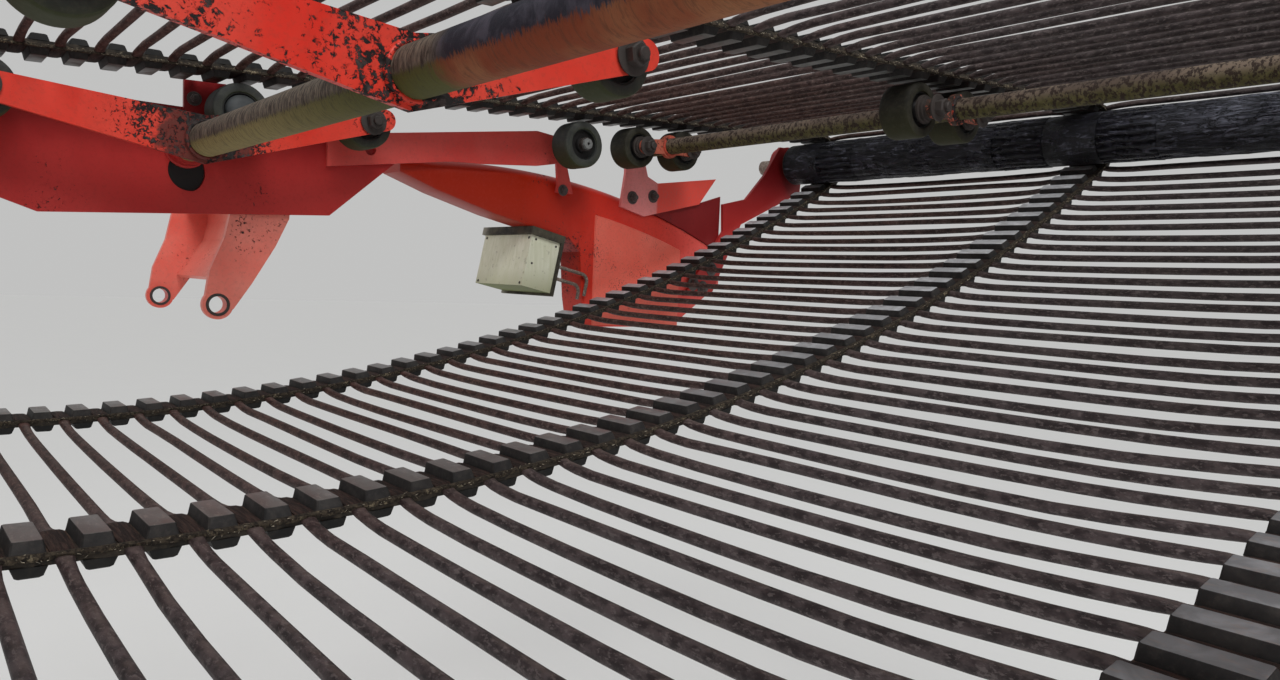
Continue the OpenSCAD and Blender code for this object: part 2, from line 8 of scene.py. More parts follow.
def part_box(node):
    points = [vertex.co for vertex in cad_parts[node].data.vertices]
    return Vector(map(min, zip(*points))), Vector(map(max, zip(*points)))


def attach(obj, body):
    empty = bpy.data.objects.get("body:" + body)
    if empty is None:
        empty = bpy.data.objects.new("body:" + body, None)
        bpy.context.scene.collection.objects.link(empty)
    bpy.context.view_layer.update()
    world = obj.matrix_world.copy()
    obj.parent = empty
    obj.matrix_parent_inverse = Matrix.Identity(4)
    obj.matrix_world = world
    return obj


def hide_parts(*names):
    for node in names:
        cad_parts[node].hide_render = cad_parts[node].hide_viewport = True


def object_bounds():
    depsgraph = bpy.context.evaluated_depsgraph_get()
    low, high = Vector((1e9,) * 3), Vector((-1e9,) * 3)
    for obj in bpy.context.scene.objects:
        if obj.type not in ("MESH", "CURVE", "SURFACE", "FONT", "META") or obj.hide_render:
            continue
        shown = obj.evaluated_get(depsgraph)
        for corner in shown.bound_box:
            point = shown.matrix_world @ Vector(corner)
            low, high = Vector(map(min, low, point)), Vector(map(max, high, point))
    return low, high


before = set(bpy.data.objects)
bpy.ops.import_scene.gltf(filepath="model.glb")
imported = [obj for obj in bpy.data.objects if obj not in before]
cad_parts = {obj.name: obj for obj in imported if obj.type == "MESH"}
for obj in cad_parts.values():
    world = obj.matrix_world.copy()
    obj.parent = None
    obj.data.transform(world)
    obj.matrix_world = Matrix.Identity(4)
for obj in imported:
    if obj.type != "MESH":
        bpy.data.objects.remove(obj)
cad_low, cad_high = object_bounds()

MM = 0.001
X_AXIS = Vector((1.0, 0.0, 0.0))
SIDES = (("left", -1), ("right", 1))

# noise_vector takes its offsets from this seed, and from the clock without one
noise.seed_set(1)

# The web's run, in millimetres, as the solids have it
BELT_GAP = 725.0
BELTS = {"belt_left": -BELT_GAP, "belt_middle": 0.0, "belt_right": BELT_GAP}
ROD_PITCH = 50.0
BAND_HALF = 4.0
CAM_HEIGHT = 15.0
CAM_TIP = 21.0
BLOCK_HEIGHT = 11.0
ROLLER_R = 54.0
DRUM = Vector((1507.0, 414.0))
TAIL = Vector((-798.0, 285.0))
TOP_SAG = 12.0
SLACK_DEPTH = 175.0
SLACK_LEAVE = math.radians(29.5)
SLACK_MEET = math.radians(6.7)
CAM_REACH = BAND_HALF + CAM_HEIGHT
WRAP_R = (ROLLER_R + 0.3) / math.cos(CAM_TIP / 2 / (ROLLER_R + CAM_REACH)) + CAM_REACH


def across(angle, r):
    return Vector((-r * math.sin(angle), r * math.cos(angle)))


TOP_SLOPE = math.atan2(DRUM.y - TAIL.y, DRUM.x - TAIL.x)
TOP_FROM = TAIL + across(TOP_SLOPE, WRAP_R)
TOP_TO = DRUM + across(TOP_SLOPE, WRAP_R)
SLACK_FROM = DRUM + across(math.pi + SLACK_LEAVE, WRAP_R)
SLACK_RUN = 2 * (SLACK_FROM.y + SLACK_DEPTH) / math.tan(SLACK_LEAVE)
SLACK_LOW = SLACK_FROM.x - SLACK_RUN
SLACK_K = math.tan(SLACK_LEAVE) / (2 * SLACK_RUN)


def slack_point(p):
    """The point of the slack strand's curve where its slope is p."""
    return Vector((SLACK_LOW + p / (2 * SLACK_K), p * p / (4 * SLACK_K) - SLACK_DEPTH))


def slack_arc(p):
    return (p * math.sqrt(1 + p * p) + math.asinh(p)) / (4 * SLACK_K)


P_FROM, P_TO = math.tan(SLACK_LEAVE), -math.tan(SLACK_MEET)
LOW = slack_point(P_TO) - across(math.pi - SLACK_MEET, WRAP_R)
RUN_ANGLE = math.atan2(TAIL.y - LOW.y, TAIL.x - LOW.x)
END_TOP = (TOP_TO - TOP_FROM).length
END_DRUM = END_TOP + WRAP_R * (math.pi - SLACK_LEAVE + TOP_SLOPE)
END_SLACK = END_DRUM + slack_arc(P_FROM) - slack_arc(P_TO)
END_LOW = END_SLACK + WRAP_R * (math.pi - SLACK_MEET - RUN_ANGLE)
END_RUN = END_LOW + (TAIL - LOW).length
WEB_LEN = END_RUN + WRAP_R * (RUN_ANGLE - TOP_SLOPE)
ROD_COUNT = round(WEB_LEN / ROD_PITCH)
ROD_STEP = WEB_LEN / ROD_COUNT


def slack_slope(s):
    """The slack strand's slope at length s from the drum, found by halving."""
    lo, hi = P_TO, P_FROM
    for _ in range(40):
        mid = (lo + hi) / 2
        if slack_arc(P_FROM) - slack_arc(mid) > s:
            lo = mid
        else:
            hi = mid
    return (lo + hi) / 2


def web_frame(s):
    """Point of the band's middle (y, z) and the outward unit normal at length s along the web."""
    s %= WEB_LEN
    if s < END_TOP:
        t = s / END_TOP
        p = TOP_FROM.lerp(TOP_TO, t)
        slope = TOP_SLOPE - 4 * TOP_SAG * (1 - 2 * t) / END_TOP
        return Vector((p.x, p.y - 4 * TOP_SAG * t * (1 - t))), across(slope, 1)
    if s < END_DRUM:
        a = TOP_SLOPE - (s - END_TOP) / WRAP_R
        return DRUM + across(a, WRAP_R), across(a, 1)
    if s < END_SLACK:
        p = slack_slope(s - END_DRUM)
        return slack_point(p), across(math.pi + math.atan(p), 1)
    if s < END_LOW:
        a = math.pi - SLACK_MEET - (s - END_SLACK) / WRAP_R
        return LOW + across(a, WRAP_R), across(a, 1)
    if s < END_RUN:
        t = (s - END_LOW) / (END_RUN - END_LOW)
        return LOW.lerp(TAIL, t) + across(RUN_ANGLE, WRAP_R), across(RUN_ANGLE, 1)
    a = RUN_ANGLE - (s - END_RUN) / WRAP_R
    return TAIL + across(a, WRAP_R), across(a, 1)


def web_axes(s):
    """The band's middle at length s, the way out of the loop and the way along it, as 3-D vectors."""
    middle, normal = web_frame(s)
    outward = Vector((0.0, normal.x, normal.y))
    return Vector((0.0, middle.x, middle.y)), outward, Vector((0.0, outward.z, -outward.y))


# Meshes


class Mesh:
    """Gathers points and faces of one piece, in millimetres."""

    def __init__(self):
        self.points, self.faces, self.slots = [], [], []

    def add(self, points, faces, slot=0):
        base = len(self.points)
        self.points.extend(points)
        self.faces.extend([tuple(base + i for i in f) for f in faces])
        self.slots.extend([slot] * len(faces))

    def make(self, name, body, materials, slot_name, smooth=30):
        data = bpy.data.meshes.new(name)
        data.from_pydata([Vector(p) * MM for p in self.points], [], self.faces)
        for m in materials:
            data.materials.append(m)
        data.polygons.foreach_set("material_index", self.slots)
        data.validate()
        piece = bpy.data.objects.new(name, data)
        bpy.context.scene.collection.objects.link(piece)
        if smooth:
            data.shade_smooth()
            data.set_sharp_from_angle(angle=math.radians(smooth))
        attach(piece, body)
        return piece


def circle(count):
    """Angles all round, in equal steps."""
    return [2 * math.pi * j / count for j in range(count)]


def rings(mesh, sections, closed=False, caps=True, slot=0):
    """Skins a list of equal rings of points."""
    n, count = len(sections[0]), len(sections)
    faces = []
    for i in range(count if closed else count - 1):
        a, b = i * n, (i + 1) % count * n
        faces += [(a + j, a + (j + 1) % n, b + (j + 1) % n, b + j) for j in range(n)]
    if caps and not closed:
        faces.append(tuple(range(n))[::-1])
        faces.append(tuple((count - 1) * n + j for j in range(n)))
    mesh.add([p for ring in sections for p in ring], faces, slot)


def turned(mesh, profile, centre, segments, wobble=None, slot=0, closed=False):
    """Turns a profile of (x, radius) round an axis along X through centre (x, y, z)."""
    cx, cy, cz = centre
    sections = []
    for x, r in profile:
        ring = []
        for a in circle(segments):
            k = r if wobble is None else wobble(x, r, a)
            ring.append((cx + x, cy + k * math.cos(a), cz + k * math.sin(a)))
        sections.append(ring)
    rings(mesh, sections, closed=closed, caps=not closed, slot=slot)


def lathe(mesh, profile, at, way, segments=24, slot=0, turn=0.0):
    """Turns a profile of (distance along way, radius) round an axis through at."""
    way = way.normalized()
    side = way.cross(Vector((0.0, 0.0, 1.0)))
    side = (side if side.length > 0.1 else Vector((0.0, 1.0, 0.0))).normalized()
    third = way.cross(side)
    sections = []
    for d, r in profile:
        sections.append([tuple(at + way * d + (side * math.cos(a + turn) + third * math.sin(a + turn)) * r)
                         for a in circle(segments)])
    rings(mesh, sections, slot=slot)


def slab(mesh, outline, x_from, x_to, slot=0):
    """A flat plate: its outline in (y, z) rows, between two places across."""
    n = len(outline)
    points = [(x, y, z) for x in (x_from, x_to) for y, z in outline]
    faces = [tuple(range(n)), tuple(range(2 * n - 1, n - 1, -1))]
    mesh.add(points, faces + [(i, n + i, n + (i + 1) % n, (i + 1) % n) for i in range(n)], slot)


# Shader nodes


class Nodes:
    """Short calls for making nodes in a tree."""

    def __init__(self, tree):
        self.tree, self.column = tree, 0

    def feed(self, socket, value):
        """Links an output to a socket, or sets a number, vector or colour on it."""
        if hasattr(value, "is_output"):
            self.tree.links.new(value, socket)
        elif socket.type == "RGBA":
            socket.default_value = (*value, 1.0)
        else:
            socket.default_value = value

    def add(self, kind, inputs=None, **settings):
        node = self.tree.nodes.new(kind)
        self.column += 1
        node.location = (self.column * 180, -(self.column % 4) * 160)
        for key, value in settings.items():
            setattr(node, key, value)
        for key, value in (inputs or {}).items():
            self.feed(node.inputs[key], value)
        return node

    def noise(self, vector, scale, detail=4.0, rough=0.6, distort=0.0):
        return self.add("ShaderNodeTexNoise", {
            "Vector": vector, "Scale": scale, "Detail": detail, "Roughness": rough,
            "Distortion": distort}).outputs["Fac"]

    def scaled(self, vector, scale):
        return self.add("ShaderNodeMapping", {"Vector": vector, "Scale": scale}).outputs["Vector"]

    def step(self, value, low, high):
        """From 0 to 1 as the value goes from low to high."""
        return self.add("ShaderNodeMapRange", {
            "Value": value, "From Min": low, "From Max": high}).outputs["Result"]

    def maths(self, operation, a, b=0.0):
        return self.add("ShaderNodeMath", {0: a, 1: b}, operation=operation).outputs[0]

    def plus(self, a, b):
        return self.maths("ADD", a, b)

    def minus(self, a, b):
        return self.maths("SUBTRACT", a, b)

    def times(self, a, b):
        return self.maths("MULTIPLY", a, b)

    def absolute(self, a):
        return self.maths("ABSOLUTE", a)

    def mix(self, fac, a, b):
        return self.add("ShaderNodeMix", {0: fac, 6: a, 7: b}, data_type="RGBA").outputs[2]

    def cover(self, base, mask, amount, colour):
        """Lays a colour over the base where the mask is, by no more than the amount."""
        return self.mix(self.times(mask, amount), base, colour)


FLOAT, VECTOR = "NodeSocketFloat", "NodeSocketVector"


def group(name, inputs, outputs):
    """A node group that takes a place and named numbers, and puts out named masks."""
    tree = bpy.data.node_groups.new(name, "ShaderNodeTree")
    tree.interface.new_socket("Vector", in_out="INPUT", socket_type=VECTOR)
    for label, value in inputs.items():
        tree.interface.new_socket(label, in_out="INPUT", socket_type=FLOAT).default_value = value
    for label in outputs:
        tree.interface.new_socket(label, in_out="OUTPUT", socket_type=FLOAT)
    nodes = Nodes(tree)
    return tree, nodes, nodes.add("NodeGroupInput").outputs, nodes.add("NodeGroupOutput").inputs


def make_chips():
    """Where paint has come off: patches that gather in worn areas."""
    tree, n, given, out = group("paint_chips", {"Amount": 0.5, "Scale": 30.0}, ("Mask", "Edge"))
    area = n.noise(given["Vector"], 5.0, 3.0, 0.55)
    small = n.noise(given["Vector"], given["Scale"], 6.0, 0.72, 0.4)
    level = n.plus(n.plus(n.times(area, 0.55), n.times(small, 0.75)), given["Amount"])
    n.feed(out["Mask"], n.step(level, 0.9, 0.915))
    n.feed(out["Edge"], n.step(level, 0.87, 0.9))
    return tree


def make_grime():
    """Dust and soil: broad stains with runs down the face."""
    tree, n, given, out = group("grime", {"Amount": 0.5, "Runs": 0.4}, ("Mask", "Speckle"))
    broad = n.noise(given["Vector"], 3.2, 5.0, 0.6, 0.5)
    runs = n.noise(n.scaled(given["Vector"], (14.0, 14.0, 1.6)), 1.0, 4.0, 0.6)
    speck = n.noise(given["Vector"], 160.0, 3.0, 0.7)
    level = n.plus(n.plus(broad, n.times(runs, given["Runs"])), given["Amount"])
    n.feed(out["Mask"], n.step(level, 0.95, 1.35))
    n.feed(out["Speckle"], n.step(speck, 0.5, 0.68))
    return tree


def make_scale():
    """Rust scale: a pitted height with darker and lighter flakes."""
    tree, n, given, out = group("rust_scale", {"Grain": 120.0}, ("Height", "Flakes", "Patches"))
    fine = n.noise(given["Vector"], given["Grain"], 6.0, 0.75)
    flakes = n.noise(given["Vector"], n.times(given["Grain"], 0.35), 4.0, 0.65, 0.6)
    broad = n.noise(given["Vector"], 7.0, 4.0, 0.6)
    n.feed(out["Height"], n.plus(n.times(fine, 0.6), n.times(flakes, 0.6)))
    n.feed(out["Flakes"], n.step(flakes, 0.46, 0.64))
    n.feed(out["Patches"], n.step(broad, 0.42, 0.62))
    return tree


CHIPS, GRIME, SCALE = make_chips(), make_grime(), make_scale()


class Material:
    """A Principled material whose colour, roughness and bump come from nodes."""

    def __init__(self, name, roughness, specular=0.4):
        self.data = bpy.data.materials.new(name)
        self.data.use_nodes = True
        self.n = Nodes(self.data.node_tree)
        self.shader = self.data.node_tree.nodes["Principled BSDF"].inputs
        self.shader["Roughness"].default_value = roughness
        self.shader["Specular IOR Level"].default_value = specular
        self.place = self.n.add("ShaderNodeTexCoord").outputs["Object"]

    def use(self, tree, **inputs):
        """Places a node group and gives its outputs."""
        node = self.n.add("ShaderNodeGroup", node_tree=tree)
        for key, value in {"Vector": self.place, **inputs}.items():
            self.n.feed(node.inputs[key], value)
        return node.outputs

    def grain(self, scale, detail, rough, distort=0.0):
        """Noise on the piece, which three scales stretch."""
        if isinstance(scale, tuple):
            return self.n.noise(self.n.scaled(self.place, scale), 1.0, detail, rough, distort)
        return self.n.noise(self.place, scale, detail, rough, distort)

    def along(self, axis):
        """The place along X, Y or Z, in metres."""
        return self.n.add("ShaderNodeSeparateXYZ", {0: self.place}).outputs[axis]

    def normal_height(self):
        normal = self.n.add("ShaderNodeNewGeometry").outputs["Normal"]
        return self.n.add("ShaderNodeSeparateXYZ", {0: normal}).outputs["Z"]

    def facing(self, low, high):
        """A mask that goes from 0 to 1 as the normal's height goes from low to high."""
        return self.n.step(self.normal_height(), low, high)

    def around(self, y, z, start, full):
        """A mask round a line along X: the distances are where it starts and where it is full."""
        dy, dz = self.n.minus(self.along("Y"), y), self.n.minus(self.along("Z"), z)
        far = self.n.maths("SQRT", self.n.plus(self.n.times(dy, dy), self.n.times(dz, dz)))
        return self.n.step(far, start, full)

    def colour(self, socket):
        self.n.feed(self.shader["Base Color"], socket)

    def rough(self, socket):
        self.n.feed(self.shader["Roughness"], socket)

    def bump(self, height, distance, strength):
        node = self.n.add("ShaderNodeBump", {"Height": height, "Distance": distance, "Strength": strength})
        self.n.feed(self.shader["Normal"], node.outputs["Normal"])


# Finishes


def shade(colour, k):
    return tuple(c * k for c in colour)


def red_paint(name, fresh, faded, wear, dirt=0.0, near=None, dots=170.0, lean=()):
    """Worn red paint: wear sets how much has chipped off, near is (y, z, from, to) of a place with
    more wear, and each lean is (axis, from, to, colour) of another colour towards one end: a painted
    shade on the plates, painted light past the shaft plate's fold, and on the rails a darker orange
    towards the tail with a painted sheen towards the drum."""
    m = Material(name, 0.45, 0.26)
    n = m.n
    amount = wear
    if near:
        patches = n.step(m.grain(24.0, 4.0, 0.6), 0.38, 0.6)
        amount = n.plus(n.times(n.times(m.around(*near), 0.14), n.plus(0.45, patches)), wear)
    chips = m.use(CHIPS, Amount=amount, Scale=dots)
    grime = m.use(GRIME, Amount=dirt, Runs=0.35)
    rust = m.use(SCALE, Grain=220.0)
    paint = n.mix(n.step(m.grain(2.6, 5.0, 0.6, 0.3), 0.35, 0.68), fresh, faded)
    # Leans lay painted shade and painted light along one axis, and on the rails also a darker tone
    for axis, start, full, colour in lean:
        paint = n.mix(n.step(m.along(axis), start, full), paint, colour)
    paint = n.cover(paint, grime["Speckle"], 0.3, shade(faded, 0.55))
    soiled = n.cover(paint, grime["Mask"], 0.8, (0.03, 0.012, 0.01))
    if near:
        y, z = near[:2]
        crust = n.times(n.times(m.around(y, z, 0.13, 0.04), 0.98), n.step(m.along("X"), -0.45, -0.6))
        crust = n.step(n.plus(crust, m.grain(40.0, 5.0, 0.7)), 1.0, 1.2)
        soiled = n.cover(soiled, crust, 0.85, (0.04, 0.028, 0.024))
    rim = n.cover(soiled, chips["Edge"], 0.5, shade(fresh, 0.5))
    bare = n.mix(rust["Flakes"], (0.012, 0.01, 0.01), (0.06, 0.045, 0.042))
    m.colour(n.mix(chips["Mask"], rim, bare))
    m.rough(n.plus(n.plus(n.times(grime["Mask"], 0.3), n.times(chips["Mask"], 0.35)), 0.4))
    m.bump(n.minus(n.times(rust["Height"], 0.15), chips["Mask"]), 0.0006, 0.9)
    return m.data


def rusty(name, dark, light, flake, grain, depth):
    """Rust scale in two tones, with flakes of a third."""
    m = Material(name, 0.85, 0.3)
    n = m.n
    rust = m.use(SCALE, Grain=grain)
    spots = n.step(m.grain((grain, grain, grain), 4.0, 0.7), 0.5, 0.62)
    m.colour(n.cover(n.mix(rust["Patches"], dark, light), spots, 0.85, flake))
    m.bump(n.plus(rust["Height"], n.times(spots, 0.3)), depth, 0.9)
    return m.data


def rod_finish():
    """Dark scale with mottles along the rod: redder to the left, darker towards the drum, lighter on
    faces that point up or down, which is rubbed wear and a painted highlight along the tops, and
    soiled flat where the belts are."""
    m = Material("rod_rust", 0.7, 0.2)
    n = m.n
    rust = m.use(SCALE, Grain=240.0)
    x = m.along("X")
    red = n.step(n.plus(x, n.times(m.grain(5.0, 3.0, 0.6), 0.6)), 0.55, -0.1)
    dark = n.mix(red, (0.03, 0.023, 0.024), (0.03, 0.013, 0.011))
    light = n.mix(red, (0.078, 0.061, 0.062), (0.08, 0.04, 0.033))
    base = n.mix(n.step(m.grain((55.0, 90.0, 90.0), 4.0, 0.65), 0.42, 0.6), dark, light)
    spots = n.step(m.grain((130.0, 280.0, 280.0), 4.0, 0.7), 0.54, 0.62)
    base = n.cover(base, spots, 0.75, n.mix(red, (0.135, 0.112, 0.11), (0.16, 0.1, 0.085)))
    # Lighter where faces point up or down: rubbed wear below the upper strand, and a painted highlight along
    # the tops
    level = n.step(n.absolute(m.normal_height()), 0.8, 0.99)
    rubbed = n.times(level, n.step(m.grain(30.0, 5.0, 0.7), 0.42, 0.58))
    base = n.cover(base, rubbed, 0.4, (0.12, 0.09, 0.078))
    by_drum = n.step(m.along("Y"), 0.35, 1.0)
    base = n.cover(base, by_drum, 0.4, n.mix(spots, (0.018, 0.013, 0.011), (0.06, 0.046, 0.042)))
    to_outer_belt = n.absolute(n.minus(n.absolute(x), BELT_GAP * MM))
    on_belt = n.step(n.maths("MINIMUM", to_outer_belt, n.absolute(x)), 0.044, 0.036)
    lines = n.step(m.grain((30.0, 420.0, 420.0), 5.0, 0.7), 0.44, 0.62)
    m.colour(n.mix(on_belt, base, n.mix(lines, (0.014, 0.009, 0.008), (0.052, 0.03, 0.024))))
    m.rough(n.plus(n.times(on_belt, 0.2), 0.62))
    m.bump(n.plus(rust["Height"], n.times(spots, 0.3)), 0.0006, 0.9)
    return m.data


def tube_finish():
    """The big tube: fibrous grey-brown above, olive or orange rust below with a scraped edge."""
    m = Material("rocker_tube_rust", 0.8, 0.35)
    n = m.n
    rust = m.use(SCALE, Grain=90.0)
    hairs = m.grain((260.0, 50.0, 50.0), 5.0, 0.75, 0.6)
    x = m.along("X")
    right = n.step(n.plus(x, n.times(hairs, 0.08)), 0.17, 0.2)
    top = n.mix(n.step(hairs, 0.42, 0.6), (0.035, 0.026, 0.02), (0.2, 0.16, 0.12))
    top = n.mix(right, top, n.mix(rust["Flakes"], (0.016, 0.016, 0.026), (0.06, 0.055, 0.075)))
    olive = n.mix(n.step(x, -0.35, -0.02), (0.26, 0.21, 0.08), (0.085, 0.085, 0.018))
    olive = n.cover(olive, n.step(hairs, 0.5, 0.6), 0.5, (0.05, 0.045, 0.02))
    orange = n.mix(n.step(m.grain(9.0, 4.0, 0.6), 0.4, 0.6), (0.22, 0.045, 0.014), (0.3, 0.12, 0.05))
    orange = n.cover(orange, n.step(hairs, 0.5, 0.62), 0.5, (0.07, 0.03, 0.015))
    edge = n.plus(m.facing(0.35, -0.85), n.minus(hairs, 0.5))
    m.colour(n.mix(n.step(edge, 0.48, 0.6), top, n.mix(right, olive, orange)))
    m.bump(n.plus(rust["Height"], hairs), 0.0008, 0.8)
    return m.data


def shaft_finish():
    """The pair shaft: brown speckled scale, olive below, with orange paint left on its brackets."""
    m = Material("pair_shaft_rust", 0.8, 0.35)
    n = m.n
    rust = m.use(SCALE, Grain=170.0)
    pits = n.step(m.grain((170.0, 120.0, 120.0), 4.0, 0.72), 0.48, 0.55)
    top = n.mix(rust["Patches"], (0.11, 0.078, 0.058), (0.2, 0.15, 0.11))
    low = n.mix(rust["Flakes"], (0.075, 0.067, 0.02), (0.13, 0.115, 0.045))
    base = n.cover(n.mix(m.facing(0.35, -0.45), top, low), pits, 0.92, (0.026, 0.014, 0.01))
    x = m.along("X")
    to_outer_bracket = n.absolute(n.minus(n.absolute(x), PAIR_BRACKETS[-1] * MM))
    to_middle_bracket = n.absolute(n.minus(x, PAIR_BRACKETS[1] * MM))
    brackets = n.step(n.maths("MINIMUM", to_outer_bracket, to_middle_bracket), 0.0075, 0.0065)
    chips = m.use(CHIPS, Amount=0.22, Scale=120.0)
    m.colour(n.mix(brackets, base, n.mix(chips["Mask"], (0.42, 0.1, 0.06), (0.05, 0.03, 0.022))))
    m.bump(n.minus(rust["Height"], pits), 0.0007, 0.8)
    return m.data


def rubber(name, dark, light, dust, grain, depth, soil, roughness=0.7, streak=None, under=None):
    """Soiled rubber: streak stretches lines of dust over it, under is the tint of what faces down."""
    m = Material(name, roughness, 0.25)
    n = m.n
    grime = m.use(GRIME, Amount=soil, Runs=0.1)
    rust = m.use(SCALE, Grain=grain)
    base = n.mix(n.times(rust["Flakes"], 0.7), dark, light)
    if streak:
        base = n.cover(base, n.step(m.grain(streak, 5.0, 0.7), 0.46, 0.62), 0.9, dust)
    if under:
        base = n.cover(base, m.facing(0.1, -0.8), 0.8, under)
    dusty = n.maths("MAXIMUM", grime["Mask"], n.times(grime["Speckle"], 0.4))
    m.colour(n.cover(base, dusty, 0.7, dust))
    m.bump(rust["Height"], depth, 0.8)
    return m.data


def cam_top_finish():
    """The worn tops of the cams: polished grey, more soiled to the tail, a paler blue-grey towards the
    drum that is a painted sheen, and darker where they face down, which is painted shade.
    """
    m = Material("cam_top_worn_sheen_and_shade", 0.45, 0.5)
    n = m.n
    rust = m.use(SCALE, Grain=80.0)
    y = m.along("Y")
    clean = n.maths("MAXIMUM", n.step(y, 0.0, 0.75), n.step(m.along("X"), 0.5, 0.6))
    soiled = n.mix(rust["Flakes"], (0.075, 0.066, 0.062), (0.125, 0.112, 0.105))
    grey = n.mix(rust["Flakes"], (0.13, 0.132, 0.138), (0.215, 0.22, 0.23))
    pale = n.mix(rust["Flakes"], (0.34, 0.345, 0.36), (0.5, 0.51, 0.53))
    # Paler blue-grey towards the drum: a painted sheen
    base = n.mix(n.step(y, 0.35, 1.0), n.mix(clean, soiled, grey), pale)
    scuffs = n.step(m.grain((60.0, 190.0, 190.0), 4.0, 0.7), 0.54, 0.64)
    base = n.cover(base, scuffs, 0.55, (0.2, 0.165, 0.15))
    # Darker where the tops face down: painted shade
    m.colour(n.cover(base, m.facing(0.0, -0.5), 0.85, (0.028, 0.03, 0.022)))
    m.rough(n.plus(n.times(rust["Flakes"], 0.2), 0.38))
    m.bump(rust["Height"], 0.0004, 0.8)
    return m.data


def tar_rubber():
    """The drum's covering: black, cracked like bark, with painted glints on the ridges and a painted
    sheen to the right on what faces up.
    """
    m = Material("drum_rubber", 0.4, 0.32)
    n = m.n
    ridges = m.grain((22.0, 95.0, 95.0), 6.0, 0.7, 1.4)
    rust = m.use(SCALE, Grain=60.0)
    cracks = n.step(n.absolute(n.minus(ridges, 0.5)), 0.0, 0.045)
    base = n.mix(rust["Flakes"], (0.006, 0.006, 0.011), (0.022, 0.021, 0.034))
    # Glints on the ridges: a painted highlight
    glint = n.times(n.step(ridges, 0.52, 0.64), n.step(m.grain(60.0, 4.0, 0.7), 0.44, 0.58))
    base = n.cover(base, glint, 0.75, (0.13, 0.135, 0.175))
    # To the right on what faces up: a painted sheen
    painted_sheen = n.times(n.step(m.along("X"), 0.06, 0.4), m.facing(-0.75, 0.3))
    painted_sheen = n.times(painted_sheen, n.step(m.grain(14.0, 4.0, 0.65), 0.3, 0.62))
    base = n.cover(base, painted_sheen, 0.85, (0.2, 0.21, 0.26))
    m.colour(n.mix(cracks, (0.001, 0.001, 0.001), base))
    m.rough(n.plus(n.times(rust["Patches"], 0.4), 0.24))
    m.bump(n.plus(n.times(cracks, 0.6), ridges), 0.006, 1.0)
    return m.data


def fabric_edge():
    """The belt's frayed fabric: dark, with pale fibres in patches."""
    m = Material("belt_fabric_edge", 0.95, 0.2)
    n = m.n
    fibres = m.grain((130.0, 240.0, 240.0), 5.0, 0.75)
    patches = m.grain(45.0, 4.0, 0.7)
    base = n.mix(n.step(fibres, 0.42, 0.64), (0.014, 0.011, 0.009), (0.07, 0.055, 0.038))
    bright = n.times(n.step(patches, 0.54, 0.68), n.step(fibres, 0.5, 0.58))
    m.colour(n.mix(bright, base, (0.24, 0.2, 0.13)))
    m.bump(fibres, 0.0012, 1.0)
    return m.data


def plain_finish(name, colour, dark, roughness, grain, depth=0.0003, stains=0.0):
    """One colour with mottles, specks and dark stains."""
    m = Material(name, roughness)
    n = m.n
    grime = m.use(GRIME, Amount=stains, Runs=0.6)
    tone = n.step(m.grain(grain, 5.0, 0.65), 0.35, 0.7)
    base = n.cover(n.mix(tone, colour, shade(colour, 0.74)), grime["Speckle"], 0.25, shade(colour, 0.5))
    m.colour(n.cover(base, grime["Mask"], 0.75, dark))
    m.bump(tone, depth, 0.5)
    return m.data


def lamp_finish():
    """Weathered cream casing: faint streaks down it, green at the foot."""
    m = Material("lamp_casing", 0.6, 0.35)
    n = m.n
    streaks = m.grain((120.0, 120.0, 9.0), 4.0, 0.6)
    spots = n.step(m.grain(90.0, 5.0, 0.7), 0.6, 0.66)
    base = n.mix(n.step(streaks, 0.36, 0.66), (0.68, 0.685, 0.55), (0.57, 0.58, 0.42))
    foot = n.step(n.plus(m.along("Z"), n.times(streaks, 0.05)), 0.115, 0.06)
    base = n.cover(base, foot, 0.6, (0.24, 0.25, 0.1))
    base = n.mix(m.facing(-0.5, -0.9), base, (0.14, 0.16, 0.05))
    m.colour(n.cover(base, spots, 0.5, (0.2, 0.19, 0.13)))
    m.bump(streaks, 0.0002, 0.4)
    return m.data


def lid_finish():
    """Dark sheet with soil on it, rubbed pale at the outer end."""
    m = Material("lamp_rim", 0.7, 0.3)
    n = m.n
    grime = m.use(GRIME, Amount=0.1, Runs=0.3)
    blotches = m.grain(22.0, 5.0, 0.65)
    base = n.mix(n.step(blotches, 0.4, 0.64), (0.014, 0.012, 0.01), (0.075, 0.066, 0.045))
    outer = n.plus(n.absolute(m.along("X")), n.times(blotches, 0.03))
    base = n.cover(base, n.step(outer, 0.99, 1.012), 0.7, (0.3, 0.29, 0.24))
    m.colour(n.cover(base, grime["Speckle"], 0.4, (0.11, 0.1, 0.075)))
    m.bump(blotches, 0.0008, 0.6)
    return m.data


# Axes of the rocker tube and the pair shaft, (y, z), and the places of the brackets across
ROCKER = (-56.0, 269.0)
PAIR = (937.0, 384.2)
CARRIERS = (("left", -682.0), ("middle", 43.0), ("right", 682.0))
PAIR_BRACKETS = (-677.0, 48.0, 677.0)

# Plate paint: darker red towards the top, a painted shade from the parts above
PLATE_RED = red_paint("plate_paint", (0.42, 0.016, 0.016), (0.5, 0.04, 0.035), 0.1, -0.03,
                      lean=(("Z", 0.24, 0.36, (0.2, 0.008, 0.01)),))
CARRIER_RED = red_paint("carrier_paint", (0.66, 0.022, 0.01), (0.7, 0.085, 0.055), 0.165, -0.1,
                        (ROCKER[0] * MM, ROCKER[1] * MM, 0.17, 0.03), 130.0)
# Bracket paint: the pale pink faded tone is partly faded paint and partly a painted highlight
BRIGHT_RED = red_paint("bracket_paint_and_sheen", (0.68, 0.085, 0.06), (0.78, 0.27, 0.21), 0.12, -0.12)
